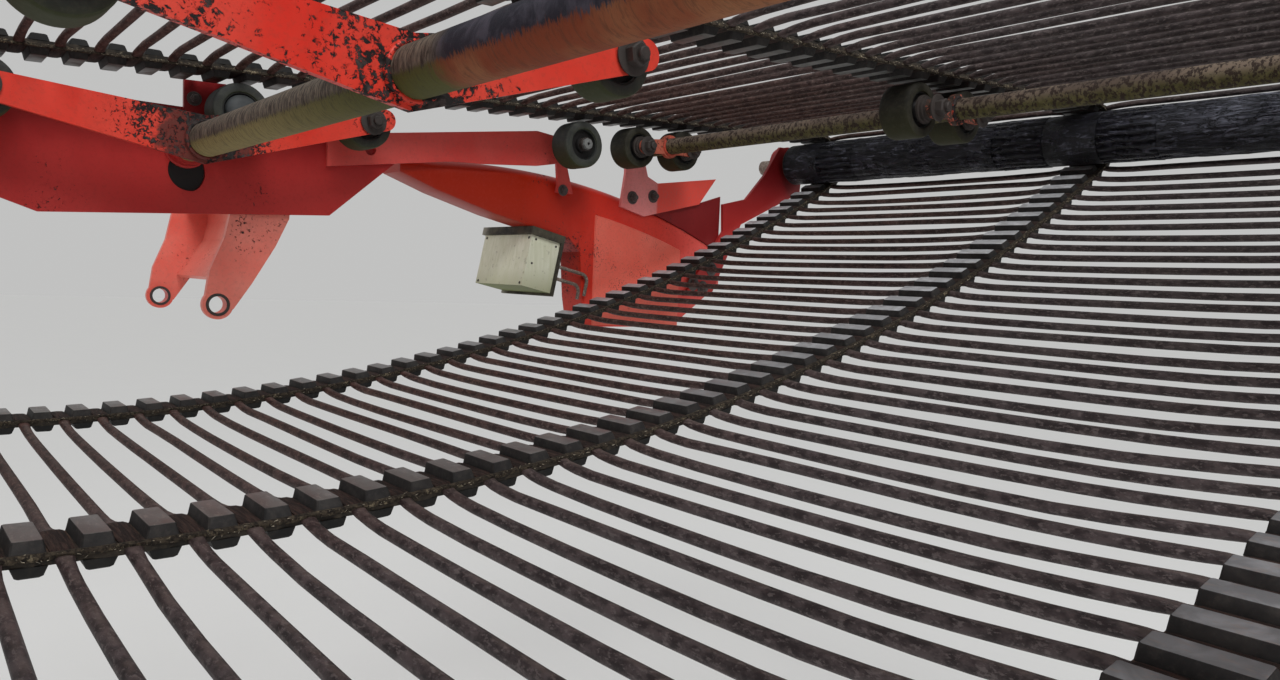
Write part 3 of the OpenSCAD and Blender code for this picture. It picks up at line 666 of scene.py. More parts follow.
# Shaft plate paint: the pale pink and the orange past the fold at Y 1.012 to 1.018 are painted light, lit and
# shaded tones of one red paint
PANEL_RED = red_paint("shaft_plate_paint_and_light", (0.8, 0.16, 0.15), (0.86, 0.3, 0.29), 0.1, -0.2,
                      lean=(("Y", 1.012, 1.018, (0.84, 0.085, 0.06)),))
# Rail paint: a darker orange towards the tail end, and towards the drum end a pale pink that is a painted
# sheen
RAIL_RED = red_paint("rail_paint_and_sheen", (0.62, 0.02, 0.01), (0.68, 0.06, 0.04), 0.13, -0.04,
                     lean=(("Y", 0.9, 0.62, (0.33, 0.014, 0.001)), ("Y", 1.02, 1.26, (0.82, 0.14, 0.12))))
JOINT_RED = red_paint("joint_paint", (0.42, 0.04, 0.02), (0.5, 0.1, 0.06), 0.24, dots=110.0)
GUSSET_RED = red_paint("gusset_paint", (0.74, 0.1, 0.065), (0.8, 0.2, 0.15), 0.14, -0.25, dots=260.0)
# Dark red of the thin panel above the rail: painted shade
SHADE_RED = red_paint("panel_painted_shade", (0.2, 0.008, 0.01), (0.26, 0.02, 0.02), 0.12, 0.06)
BAR_RED = red_paint("bar_paint", (0.64, 0.058, 0.048), (0.7, 0.13, 0.11), 0.1, -0.08)
ROD_RUST = rod_finish()
STEEL_RUST = rusty("worn_steel", (0.12, 0.09, 0.075), (0.2, 0.15, 0.12), (0.32, 0.26, 0.22), 180.0, 0.0004)
ROLLER_STEEL = rusty("tail_roller_steel", (0.05, 0.035, 0.03), (0.09, 0.06, 0.045), (0.16, 0.11, 0.08),
                     90.0, 0.0007)
TUBE_RUST = tube_finish()
SHAFT_RUST = shaft_finish()
CAM_RUBBER = rubber("cam_rubber", (0.017, 0.016, 0.016), (0.036, 0.033, 0.031), (0.07, 0.06, 0.052),
                    80.0, 0.0006, -0.03)
CAM_TOP = cam_top_finish()
BAND_RUBBER = rubber("band_rubber", (0.016, 0.012, 0.01), (0.035, 0.024, 0.018), (0.1, 0.06, 0.04),
                     60.0, 0.001, -0.02, 0.85, (28.0, 260.0, 260.0))
EDGE_RUBBER = rubber("band_edge", (0.014, 0.012, 0.01), (0.04, 0.032, 0.024), (0.09, 0.07, 0.045),
                     90.0, 0.0012, 0.0, 0.9)
DRUM_RUBBER = tar_rubber()
RING_RUBBER = rubber("roller_ring", (0.02, 0.022, 0.021), (0.03, 0.032, 0.03), (0.05, 0.05, 0.04),
                     90.0, 0.0003, -0.1, 0.5)
TYRE_RUBBER = rubber("roller_rubber", (0.03, 0.032, 0.031), (0.05, 0.053, 0.048), (0.085, 0.085, 0.055),
                     70.0, 0.0005, -0.02, under=(0.042, 0.05, 0.014))
PAIR_RUBBER = rubber("pair_roller_rubber", (0.016, 0.015, 0.011), (0.034, 0.032, 0.023), (0.07, 0.062, 0.04),
                     80.0, 0.0007, 0.02, under=(0.034, 0.036, 0.012))
# Outer blocks: black rubber, darkened past the cams' rubber by painted shade
BLOCK_RUBBER = rubber("outer_block_rubber_and_shade", (0.006, 0.006, 0.006), (0.014, 0.013, 0.012),
                      (0.03, 0.025, 0.02), 80.0, 0.0006, -0.06)
HUB_GREY = plain_finish("hub_grey", (0.06, 0.067, 0.07), (0.06, 0.062, 0.05), 0.65, 90.0)
PIN_STEEL = plain_finish("pin_steel", (0.19, 0.195, 0.19), (0.12, 0.09, 0.07), 0.55, 220.0, 0.0004)
DARK_STEEL = plain_finish("hub_steel", (0.045, 0.036, 0.032), (0.02, 0.016, 0.012), 0.6, 120.0)
BOLT_STEEL = plain_finish("bolt_steel", (0.09, 0.07, 0.065), (0.03, 0.02, 0.015), 0.5, 200.0, stains=0.05)
LAMP_CREAM = lamp_finish()
RIM_BLACK = lid_finish()
# Near-black for recesses and holes: painted shade
RECESS_SHADE_BLACK = plain_finish("painted_recess_shade", (0.008, 0.007, 0.007), (0.02, 0.014, 0.01), 0.5, 60.0)
FABRIC = fabric_edge()
FIBRES = plain_finish("loose_fibres", (0.42, 0.37, 0.28), (0.12, 0.1, 0.07), 0.9, 300.0)

CAD_FINISHES = {
    "side_plate": PLATE_RED, "tail_arm": PLATE_RED, "rail": RAIL_RED, "drum_plate": PLATE_RED,
    "shaft_plate": PANEL_RED, "tail_tie": PLATE_RED, "rocker_tube": TUBE_RUST, "carrier": CARRIER_RED,
    "pair_shaft": SHAFT_RUST, "idler_bracket": PLATE_RED, "roller_bar": BAR_RED,
    "hinge_bracket": BRIGHT_RED, "lamp_body": LAMP_CREAM, "lamp_rim": RIM_BLACK,
    "lamp_guard": STEEL_RUST, "tail_roller": ROLLER_STEEL, "drum": DRUM_RUBBER,
}


def finish_of(node):
    """The finish whose name is the longest start of the node's name."""
    fits = [key for key in CAD_FINISHES if node.startswith(key)]
    return CAD_FINISHES[max(fits, key=len)] if fits else STEEL_RUST


for node_name, node_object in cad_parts.items():
    node_object.data.materials.clear()
    node_object.data.materials.append(finish_of(node_name))

# Rods: round between the belts, flattened where they lie in the valleys of a belt, and led down
# through its frayed edge on the other side

ROD_HALF = 777.0
ROD_R = 6.0
ROD_SIDES = 10
BODY_LEVEL = 6.0
# Rows of one belt crossing: place from the belt's centre, level off the band's middle,
# half width along the web and half height
CROSSING = (
    (-110.0, BODY_LEVEL, ROD_R, ROD_R), (-80.0, 5.2, 6.1, 5.8), (-60.0, 3.0, 6.6, 5.2),
    (-48.0, 0.0, 7.8, 3.8), (-40.0, -3.4, 9.2, 2.4), (-33.0, -4.6, 9.6, 1.9), (24.0, -4.6, 9.6, 1.8),
    (31.0, -3.6, 9.0, 2.2), (38.0, -0.6, 7.6, 3.6), (48.0, 2.2, 6.6, 5.0), (66.0, 4.4, 6.1, 5.8),
    (95.0, BODY_LEVEL, ROD_R, ROD_R))
# The longer way down to the right belt, in place of the first four rows
RIGHT_APPROACH = (
    (-200.0, 5.0, ROD_R, ROD_R), (-150.0, 3.4, ROD_R, ROD_R), (-110.0, 1.4, ROD_R, ROD_R),
    (-80.0, -0.6, 6.1, 5.8), (-60.0, -2.2, 6.6, 5.2), (-48.0, -3.2, 7.8, 3.8))
FIRST_ROWS = ((-ROD_HALF, 1.2, 6.6, 3.6), (-ROD_HALF + 1.5, 1.2, 7.2, 4.3))
LAST_ROWS = ((ROD_HALF - 1.5, 2.6, 6.4, 5.0), (ROD_HALF, 2.6, 5.4, 4.2))


def rod_stations():
    rows = []
    for name, centre in BELTS.items():
        crossing = RIGHT_APPROACH + CROSSING[4:] if name == "belt_right" else CROSSING
        between = (170.0, 260.0, 350.0, 440.0) + ((530.0,) if name == "belt_left" else ())
        rows += [(centre + x, level, w, h) for x, level, w, h in crossing]
        rows += [(centre + x, BODY_LEVEL, ROD_R, ROD_R) for x in between]
    return (*FIRST_ROWS, *[row for row in rows if abs(row[0]) < ROD_HALF - 3.0], *LAST_ROWS)


def squared(c, power):
    return math.copysign(abs(c) ** power, c)


def make_rods():
    mesh = Mesh()
    stations = rod_stations()
    rng = random.Random(4)
    for i in range(ROD_COUNT):
        middle, outward, forward = web_axes(i * ROD_STEP)
        bends = [(rng.uniform(-1.0, 6.0), rng.uniform(-0.5, 2.6), rng.uniform(-1.6, 1.6)) for _ in range(2)]
        twist = rng.uniform(-0.03, 0.03)
        sections = []
        for x, level, half_w, half_h in stations:
            along = ((x + BELT_GAP) % BELT_GAP) / BELT_GAP
            bend, sag, wave = bends[0 if x < 0 else 1]
            free = min(1.0, max(0.0, (0.5 - abs(along - 0.5)) * BELT_GAP - 60.0) / 120.0)
            swing = math.sin(math.pi * along) * free
            shift = bend * swing + wave * math.sin(2 * math.pi * along) * free
            centre = middle + X_AXIS * x + outward * (level + sag * swing) + forward * shift
            power = 0.5 + 0.5 * half_h / half_w
            ring = []
            for j in range(ROD_SIDES):
                a = 2 * math.pi * (j + 0.5) / ROD_SIDES + twist
                worn = 1.0 + 0.045 * noise.noise(Vector((x * 0.05, i * 3.1, j * 1.7)))
                ring.append(tuple(centre + forward * half_w * worn * squared(math.cos(a), power)
                                  + outward * half_h * worn * squared(math.sin(a), power)))
            sections.append(ring)
        rings(mesh, sections)
    rods = mesh.make("rods", "conveyor", [ROD_RUST], "rod_steel", smooth=60)
    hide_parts("web_rods")


make_rods()

# Belts: a fabric band with a frayed strip along one edge, cams inside and blocks outside

STRIP_IN, STRIP_OUT = 30.0, 41.0
BAND_STEPS = 8
BELT_FINISHES = (BAND_RUBBER, CAM_RUBBER, FABRIC, EDGE_RUBBER, FIBRES, CAM_TOP, BLOCK_RUBBER)
BAND_SLOT, CAM_SLOT, STRIP_SLOT, EDGE_SLOT, FIBRE_SLOT, CAM_TOP_SLOT, BLOCK_SLOT = range(7)
# Half sizes of an outer block, along the belt's width and along the web, at its foot and its top
BLOCK_LOW, BLOCK_TOP, BLOCK_BEVEL = (38.5, 13.2), (37.0, 9.8), 1.3


def make_band(mesh, centre_x, rng):
    """The band and the strip of fabric along its edge, as rings of points all round the web."""
    count = ROD_COUNT * BAND_STEPS
    band, strip = [], []
    for i in range(count):
        middle, outward, _ = web_axes(i * WEB_LEN / count)
        base = middle + X_AXIS * centre_x
        left, right = 40.6 + rng.uniform(-0.8, 0.8), 39.0 + rng.uniform(-1.5, 1.0)
        lumps = [rng.uniform(-0.5, 0.5) for _ in range(8)]
        band.append([tuple(base + X_AXIS * x + outward * n) for x, n in (
            (-left + 1.0, -3.8 + lumps[0] * 0.4), (-34.0, -4.0), (STRIP_IN + 2.0, -4.0), (right, -3.0),
            (right + lumps[1], 1.2 + lumps[2]), (right - 1.0, 3.4), (34.0, 4.0), (-34.0, 4.0),
            (-left + 1.0, 3.6), (-left + lumps[3], 1.5), (-left + lumps[4], -1.8))])
        fray = rng.uniform(-1.6, 0.9)
        strip.append([tuple(base + X_AXIS * x + outward * n) for x, n in (
            (STRIP_IN + 0.8 * lumps[5], -3.6), (STRIP_IN + 1.0 + lumps[6], -5.6 + lumps[7] * 0.6),
            (STRIP_OUT - 3.5 + lumps[0], -6.9 + lumps[1] * 0.8), (STRIP_OUT + fray * 0.5, -5.6 + lumps[3]),
            (STRIP_OUT + fray, -3.2 + lumps[4]), (STRIP_OUT - 2.5 + lumps[2], -0.6 + lumps[5]))])
    rings(mesh, band, closed=True)
    for k in range(len(mesh.faces)):
        mesh.slots[k] = BAND_SLOT if k % len(band[0]) in (0, 1, 6, 7) else EDGE_SLOT
    rings(mesh, strip, closed=True, slot=STRIP_SLOT)


def make_fibre(mesh, s, centre_x, rng):
    """One loose fibre on the strip: a thin three-sided stem that bends and ends in a tip."""
    middle, outward, forward = web_axes(s)
    root = middle + X_AXIS * (centre_x + STRIP_OUT - 1.5) - outward * rng.uniform(1.0, 6.4)
    if rng.random() < 0.25:
        root -= X_AXIS * rng.uniform(2.0, 8.0) + outward * 1.0
    way = X_AXIS * rng.uniform(0.1, 1.0) + forward * rng.uniform(-1.3, 1.3) - outward * rng.uniform(-0.5, 0.6)
    way.normalize()
    length = rng.uniform(1.5, 4.5) if rng.random() < 0.85 else rng.uniform(4.0, 6.5)
    curl = forward * rng.uniform(-0.5, 0.5) - outward * rng.uniform(-0.2, 0.4)
    wide = forward.cross(way).normalized() * rng.uniform(0.25, 0.5)
    deep = wide.cross(way).normalized() * 0.35
    bend = root + way * length * 0.55
    tip = bend + (way + curl).normalized() * length * 0.45
    points = [root + wide, root - wide, root + deep,
              bend + wide * 0.7, bend - wide * 0.7, bend + deep * 0.7, tip]
    mesh.add([tuple(p) for p in points],
             [(0, 1, 4, 3), (1, 2, 5, 4), (2, 0, 3, 5), (3, 4, 6), (4, 5, 6), (5, 3, 6)], FIBRE_SLOT)


def make_cam(mesh, origin, side, ahead, up, rng):
    """A cam with a flat worn top."""
    top = CAM_HEIGHT - 2.4 - rng.uniform(0.1, 1.2)
    corner = 1.4
    jog = [rng.uniform(-0.5, 0.5) for _ in range(4)]
    sections = []
    # Rows of side from, side to, half length along the web and height
    for a, b, half, z in ((-40.4, 32.5, 13.9, 0.0), (-40.0, 31.4, 13.3, 1.8), (-38.6, 27.8, 11.4, top - 0.9),
                          (-38.0, 27.0, 10.8, top - 0.2), (-37.2, 26.2, 10.3, top)):
        ring = [(a + corner, -half + jog[0]), (b - corner, -half + jog[1]), (b, -half + corner),
                (b, half - corner), (b - corner, half + jog[2]), (a + corner, half + jog[3]),
                (a, half - corner), (a, -half + corner)]
        sections.append([tuple(origin + side * x + ahead * y + up * z) for x, y in ring])
    first = len(mesh.faces)
    rings(mesh, sections, slot=CAM_SLOT)
    mesh.slots[-1] = CAM_TOP_SLOT
    for k in range(first + 8 * 3, first + 8 * 4):
        mesh.slots[k] = CAM_TOP_SLOT


def make_block(mesh, origin, side, ahead, up, height, seed):
    """A bevelled outer block with uneven faces."""
    b = BLOCK_BEVEL
    (lx, ly), (hx, hy) = BLOCK_LOW, BLOCK_TOP
    t = 1 - b / height
    levels = ((lx, ly, 0.0), (lx + (hx - lx) * t, ly + (hy - ly) * t, height - b), (hx - b, hy - b, height))
    sections = []
    for half_x, half_y, z in levels:
        ring = []
        for x, y in ((-half_x + b, -half_y), (half_x - b, -half_y), (half_x, -half_y + b),
                     (half_x, half_y - b), (half_x - b, half_y), (-half_x + b, half_y),
                     (-half_x, half_y - b), (-half_x, -half_y + b)):
            p = origin + side * x + ahead * y + up * z
            shift = noise.noise_vector(p * 0.06 + Vector((seed, 0, 0))) * 0.7
            ring.append(tuple(p + side * shift.x + ahead * shift.y + up * min(shift.z, 0)))
        sections.append(ring)
    rings(mesh, sections, slot=BLOCK_SLOT)


def make_belt(node, centre_x):
    mesh = Mesh()
    rng = random.Random(int(centre_x) + 1000)
    make_band(mesh, centre_x, rng)
    fibres = ROD_COUNT * BAND_STEPS * 2
    for i in range(fibres):
        make_fibre(mesh, (i + rng.random()) * WEB_LEN / fibres, centre_x, rng)
    for i in range(ROD_COUNT):
        middle, outward, forward = web_axes((i + 0.5) * ROD_STEP)
        base = middle + X_AXIS * (centre_x + rng.uniform(-0.6, 0.6))
        turn = rng.uniform(-0.014, 0.014)
        side = (X_AXIS + forward * turn).normalized()
        ahead = (forward - X_AXIS * turn).normalized()
        make_cam(mesh, base - outward * (BAND_HALF - 0.6), side, ahead, -outward, rng)
        height = BLOCK_HEIGHT - 0.9 - rng.uniform(0.2, 1.2)
        make_block(mesh, base + outward * (BAND_HALF - 0.4), side, -ahead, outward, height, centre_x + 7)
    belt = mesh.make(node + "_web", "conveyor", BELT_FINISHES, "belt_rubber")
    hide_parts(node)


for belt_node, belt_x in BELTS.items():
    make_belt(belt_node, belt_x)

# Drum and rollers

DRUM_HALF, DRUM_SEGMENTS = 786.0, 176
# Half of what a belt covers on the drum, and the ribbed length on each side of it
TRACK, SLEEVE = 56.0, 116.0
DRUM_AXIS = (0.0, DRUM.x, DRUM.y)


def drum_rows():
    """Rows of (x, kind) along the drum: bare tracks under the belts, ribs beside them, bark between."""
    zones = []
    for centre in BELTS.values():
        zones.append((centre - TRACK, centre + TRACK, "track"))
        for sign in (-1, 1):
            a, b = sorted((centre + sign * TRACK, centre + sign * (TRACK + SLEEVE)))
            if -DRUM_HALF < a and b < DRUM_HALF:
                zones.append((a, b, "ribs"))
    zones.append((-BELT_GAP + TRACK + SLEEVE, -TRACK - SLEEVE, "barrel"))
    zones.append((TRACK + SLEEVE, BELT_GAP - TRACK - SLEEVE, "barrel"))
    profile = []
    for a, b, kind in sorted(zones):
        a, b = max(a, -DRUM_HALF), min(b, DRUM_HALF)
        steps = max(2, int((b - a) / 9))
        rows = [(a + (b - a) * k / steps, kind) for k in range(steps + 1)]
        if kind == "ribs":
            rows = [(a, "end"), (a + 2.5, kind)] + rows[1:-1] + [(b - 2.5, kind), (b, "end")]
        if kind == "track":
            rows = [(a + 0.4, kind)] + rows[1:-1] + [(b - 0.4, kind)]
        profile += rows
    return profile


def drum_radius(x, kind, a):
    if kind == "end":
        return 50.0
    c, s = math.cos(a), math.sin(a)
    rough = noise.fractal(Vector((x * 0.02, c * 3.2, s * 3.2)), 0.9, 2.1, 4)
    if kind == "track":
        return 53.7 + 0.25 * rough
    if kind == "ribs":
        wave = math.sin(a * 22 + 1.6 * noise.noise(Vector((x * 0.03, c * 2, s * 2))))
        ragged = noise.noise(Vector((x * 0.07, c * 9, s * 9)))
        return 54.6 - 3.6 * (1 - math.tanh(3.0 * wave + 1.6 * ragged)) / 2 + 1.2 * rough
    bark = noise.noise(Vector((x * 0.022, c * 11, s * 11)))
    return 53.4 + 1.3 * rough + 1.1 * math.tanh(4.0 * bark)


def make_drum():
    mesh = Mesh()
    sections = []
    for x, kind in drum_rows():
        ring = []
        for a in circle(DRUM_SEGMENTS):
            r = drum_radius(x, kind, a)
            ring.append((x, DRUM.x + r * math.cos(a), DRUM.y + r * math.sin(a)))
        sections.append(ring)
    rings(mesh, sections)
    journal = ((-902, 0.01), (-902, 18), (-900, 20), (-832, 20), (-832, 22.5), (-DRUM_HALF, 22.5))
    stub = ((DRUM_HALF, 22.5), (830, 22.5), (832, 20.5), (832, 0.01))
    for profile in (journal, stub, ((-DRUM_HALF, 50), (-786.1, 22)), ((DRUM_HALF, 50), (786.1, 22))):
        turned(mesh, profile, DRUM_AXIS, 40, slot=1)
    drum = mesh.make("drum_ribbed", "drum", [DRUM_RUBBER, STEEL_RUST], "drum_rubber", smooth=50)
    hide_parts("drum")


make_drum()

TYRE_SEGMENTS = 60
# The domed hub cap of an idler: distance past the tyre's face and radius
CAP = ((-8, 25.5), (-0.5, 25.5), (4, 24.4), (7.5, 21.4), (10.0, 17.0), (11.5, 10.0), (12, 0.01))


def place(node):
    """The middle and the size of a node, in millimetres."""
    low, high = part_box(node)
    return (low + high) / 2 / MM, (high - low) / MM


def make_roller(node, domed):
    """A tyre with a ring on its faces round a recess, in which the hub stands; recess and hub are painted
    near-black as shade.
    """
    centre, size = place(node)
    r, w = max(size.y, size.z) / 2, size.x / 2
    mesh = Mesh()
    bore, hub, inner = 8.15, 17.0, 0.63 * r
    side = [(-w + 3, bore), (-w + 3, hub - 1), (-w + 4, hub), (-w + 10, hub + 1), (-w + 10, inner - 2),
            (-w + 2.5, inner - 0.6), (-w + 2.5, inner + 1.2), (-w + 0.3, inner + 2.4), (-w, inner + 4),
            (-w, r - 4.5), (-w + 1.2, r - 1.8), (-w + 4.5, r - 0.3)]
    tread = [(x, r) for x in (-w + 9, -w * 0.5, 0, w * 0.5, w - 9)]
    profile = side + tread + [(-x, k) for x, k in side[::-1]]

    def worn(x, k, a):
        if k < inner:
            return k
        spot = Vector((x * 0.06, math.cos(a) * k * 0.05, math.sin(a) * k * 0.05))
        return k - 0.25 + 0.25 * noise.noise(spot)

    turned(mesh, profile, centre, TYRE_SEGMENTS, worn, closed=True)
    last = len(profile) - 1
    # The recess and hub take the near-black painted shade, the ring round them the ring rubber
    for k in range(len(mesh.faces)):
        row = min(k // TYRE_SEGMENTS, last - k // TYRE_SEGMENTS)
        mesh.slots[k] = 2 if row < 5 else (3 if row < 7 else 0)
    if domed:
        toward = 1 if centre.x < 0 else -1
        turned(mesh, [(toward * (w + x), k) for x, k in CAP], centre, 48, slot=1)
    tyre = PAIR_RUBBER if node.startswith("pair") else TYRE_RUBBER
    finishes = [tyre, HUB_GREY, RECESS_SHADE_BLACK, RING_RUBBER]
    roller = mesh.make(node + "_tyre", node, finishes, "roller_rubber", smooth=40)
    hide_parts(node)


PINNED_ROLLERS = ("carrier_roller", "pair_roller", "bar_roller")

for node_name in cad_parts:
    if node_name.startswith(PINNED_ROLLERS):
        make_roller(node_name, False)
    elif node_name in ("idler_left", "idler_right"):
        make_roller(node_name, True)

# Fittings: bolts, the heads of pins, welds, bushes and edges, each named after the CAD node it belongs to and
# placed in the conveyor's body

PLATE_IN, PLATE_OUT, HOUSING_END = 800.0, 808.0, 832.0
ARM_FACE = 816.0
CORNERS = (45, 135, 225, 315)


def bolt(mesh, at, way, flats, stud=0.0, turn=0.3, slot=0):
    """A washer and a hexagon head, or a nut on a stud."""
    r = flats / math.sqrt(3)
    lathe(mesh, [(-0.5, flats * 0.92), (1.5, flats * 0.92), (2.0, flats * 0.87)], at, way, 24, slot)
    lathe(mesh, [(1.5, r), (2 + flats * 0.48, r), (2 + flats * 0.56, r * 0.86)], at, way, 6, slot, turn)
    if stud:
        top = 2 + flats * 0.5
        end = [(top, stud), (top + stud * 0.9, stud), (top + stud * 1.1, stud * 0.82)]
        lathe(mesh, end, at, way, 16, slot)


def corners(centre, radius):
    return [(centre[0] + radius * math.cos(math.radians(a)), centre[1] + radius * math.sin(math.radians(a)))
            for a in CORNERS]


# Bolts of one side: node, distance from the middle plane, places (y, z), 1 if the head faces inward,
# width of the head and radius of the stud
ARM_Y = LOW.x + 30
SIDE_BOLTS = (
    ("side_plate", HOUSING_END, corners(ROCKER, 40), -1, 13, 0),
    ("side_plate", HOUSING_END, corners(TAIL, 36), -1, 15, 0),
    ("drum_plate", HOUSING_END, corners(DRUM, 38), -1, 15, 0),
    ("drum_plate", PLATE_IN, [(1150, 72), (1184, 62), (1180, 128), (1214, 112)], 1, 20, 6),
    ("tail_arm", HOUSING_END, corners(LOW, 33), -1, 12, 0),
    ("tail_arm", ARM_FACE, [(ARM_Y + y, z) for y, z in ((-32, 298), (32, 298), (-16, 246), (22, 246))],
     -1, 22, 7),
    ("shaft_plate", PLATE_IN, [(935, 273), (1001, 282)], 1, 17, 6.0),
    ("roller_bar", PLATE_IN - 8, [(724, 270)], 1, 14, 5),
    ("idler_bracket", PLATE_IN - 8, [(-46, 350)], 1, 13, 5),
)


def make_bolts():
    for side_name, sign in SIDES:
        gathered = {}
        for node, face, places, inward, flats, stud in SIDE_BOLTS:
            mesh = gathered.setdefault(node + "_" + side_name, Mesh())
            for k, (y, z) in enumerate(places):
                bolt(mesh, Vector((sign * face, y, z)), Vector((-sign * inward, 0, 0)), flats, stud, 0.4 * k)
        for node, mesh in gathered.items():
            mesh.make(node + "_bolts", "conveyor", [BOLT_STEEL], "shaft_steel")


def make_pin_head(node):
    """The nut or bolt head that shows at a roller, and the nut on its plate's other face."""
    centre, size = place(node)
    mesh = Mesh()
    toward = -1.0 if centre.x > 300 else 1.0
    way = X_AXIS * toward

    def out(distance):
        return Vector((centre.x + toward * distance, centre.y, centre.z))

    if node.startswith("bar_roller"):
        at = out(size.x / 2 - 7)
        lathe(mesh, [(0, 14.4), (14.6, 14.4), (15.4, 13.6)], at, way, 32, 1)
        nut = [(14, 12.4), (19, 12.4), (21.5, 11.0), (22.5, 8.0), (21.9, 3.6), (18.5, 3.2)]
        lathe(mesh, nut, at, way, 8, 0, 0.2)
        # The hole in the nut is painted near-black as shade
        lathe(mesh, [(14, 3.2), (19.2, 3.0)], at, way, 12, 2)
    elif node.startswith("pair_roller"):
        at = out(53.0)
        lathe(mesh, [(-0.5, 18.0), (3.4, 18.0), (4.0, 17.0)], at, way, 30, 1)
        bolt(mesh, at + way * 3.5, way, 24, 7.5, 0.5, 1)
        back = [(0, 24.0), (4, 24.0), (4.5, 20.0), (9, 20.0), (9.5, 16.4), (14, 16.4)]
        lathe(mesh, back, out(29.0), way, 32, 1)
    else:
        at = out(48.0)
        lathe(mesh, [(-0.5, 21.0), (3.0, 21.0), (3.8, 20.0)], at, way, 32, 1)
        bolt(mesh, at + way * 3.0, way, 26, 8.0, 0.7, 1)
    mesh.make(node + "_pin", "conveyor", [PIN_STEEL, DARK_STEEL, RECESS_SHADE_BLACK], "shaft_steel")


make_bolts()
for node_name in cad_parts:
    if node_name.startswith(PINNED_ROLLERS):
        make_pin_head(node_name)


def bead(mesh, x, centre, radius, size, seed):
    """An uneven weld bead round a tube."""
    sections = []
    for a in circle(72):
        lump = 1.0 + 0.3 * noise.noise(Vector((math.cos(a) * 9, math.sin(a) * 9, seed)))
        out = Vector((0.0, math.cos(a), math.sin(a)))
        at = Vector((x, *centre)) + out * radius
        sections.append([tuple(at + (X_AXIS * math.cos(b) + out * math.sin(b)) * size * lump)
                         for b in circle(7)])
    rings(mesh, sections, closed=True)


def make_welds():
    for name, x in CARRIERS:
        mesh = Mesh()
        for sign in (-1, 1):
            bead(mesh, x + sign * 8.5, ROCKER, 29.0, 3.6, x * 0.01 + sign)
        mesh.make("carrier_%s_welds" % name, "conveyor", [CARRIER_RED], "red_paint", smooth=60)
    mesh = Mesh()
    for x in PAIR_BRACKETS:
        for sign in (-1, 1):
            bead(mesh, x + sign * 5.5, PAIR, 19.5, 3.4, x * 0.01 + sign)
    mesh.make("pair_shaft_welds", "conveyor", [JOINT_RED], "red_paint", smooth=60)


# The hole beside the rocker's housing, and the smaller one that shows: centre (y, z) and radius
HOLE, HOLE_R = Vector((-63.0, 227.0)), 38.0
SEEN, SEEN_R = Vector((-50.0, 228.5)), 34.0
# A near-black disc in the housing's hole, which is painted shade: place across and radius
SHADE_DISC_ROWS = ((0.2, 37.8), (1.2, 37.8), (0.9, 30.0), (1.4, 12.0))
# Lower edge of the roller bar, deeper towards its roller: (y, z)
BAR_LIP = ((380, 298), (520, 316), (655, 336), (712, 340), (700, 326), (655, 317), (520, 305.5))
# Places across of the bushes in the leaves of a hinge bracket, and a bush's section: height and radius
BUSHES_AT = (PLATE_OUT, 1226.0)
BUSH = ((-6.0, 15.1), (1.4, 15.1), (2.0, 15.9), (2.0, 19.2), (1.2, 20.0), (-0.4, 20.0))


def hole_lip(mesh, sign):
    """The crescent of plate that is left between the housing's hole and the smaller one that shows."""
    count, rows = 60, []
    offset = SEEN - HOLE
    for a in circle(count):
        way = Vector((math.cos(a), math.sin(a)))
        along = way.dot(offset)
        reach = along + math.sqrt(max(0.0, along * along - offset.length_squared + SEEN_R ** 2))
        rows.append((HOLE + way * min(reach, HOLE_R - 0.05), HOLE + way * HOLE_R))
    points = [(sign * x, p.x, p.y) for x in (PLATE_IN, PLATE_IN + 7.0) for row in rows for p in row]
    faces = []
    low = 2 * count
    for k in range(count):
        a, b = 2 * k, 2 * ((k + 1) % count)
        faces += [(a, b, b + 1, a + 1), (low + a, low + a + 1, low + b + 1, low + b),
                  (a, low + a, low + b, b)]
    mesh.add(points, faces)


def bush(mesh, x, way):
    sections = [[(x + way * d, r * math.cos(a), r * math.sin(a)) for a in circle(40)] for d, r in BUSH]
    rings(mesh, sections, caps=False)


def make_side_trim(side_name, sign):
    """What belongs to one side: the weld and hole of its plate, a near-black disc of painted shade in
    the hole, its bar's lower edge and its bushes.
    """
    weld, hole_shade_disc, lip, bar, bushes = (Mesh() for _ in range(5))
    bead(weld, sign * (PLATE_IN - 0.5), ROCKER, 33.5, 3.2, 4.0 * sign)
    lathe(hole_shade_disc, SHADE_DISC_ROWS, Vector((sign * PLATE_OUT, HOLE.x, HOLE.y)), X_AXIS * -sign, 48)
    hole_lip(lip, sign)
    slab(bar, BAR_LIP, sign * (PLATE_IN - 8.2), sign * PLATE_IN)
    for x in BUSHES_AT:
        bush(bushes, sign * x, -sign)
    for name, mesh, finish, slot_name, smooth in (
            ("side_plate_%s_weld", weld, PLATE_RED, "red_paint", 60),
            ("side_plate_%s_grease", hole_shade_disc, RECESS_SHADE_BLACK, "red_paint", 60),
            ("side_plate_%s_lip", lip, PLATE_RED, "red_paint", 40),
            ("roller_bar_%s_lip", bar, BAR_RED, "red_paint", 0),
            ("hinge_bracket_%s_bushes", bushes, DARK_STEEL, "shaft_steel", 30)):
        mesh.make(name % side_name, "conveyor", [finish], slot_name, smooth)


LAMP_W, LAMP_H, LAMP_D, LID_T = 200.0, 116.0, 78.0, 18.0
LAMP_Y, LAMP_Z, LAMP_SLOPE = 655.0, 184.05, -0.21
FRONT_SCREW = ((-0.5, 3.0), (1.0, 3.0), (1.8, 1.8))
SIDE_SCREW = ((-0.5, 2.6), (0.9, 2.6), (1.5, 1.6))


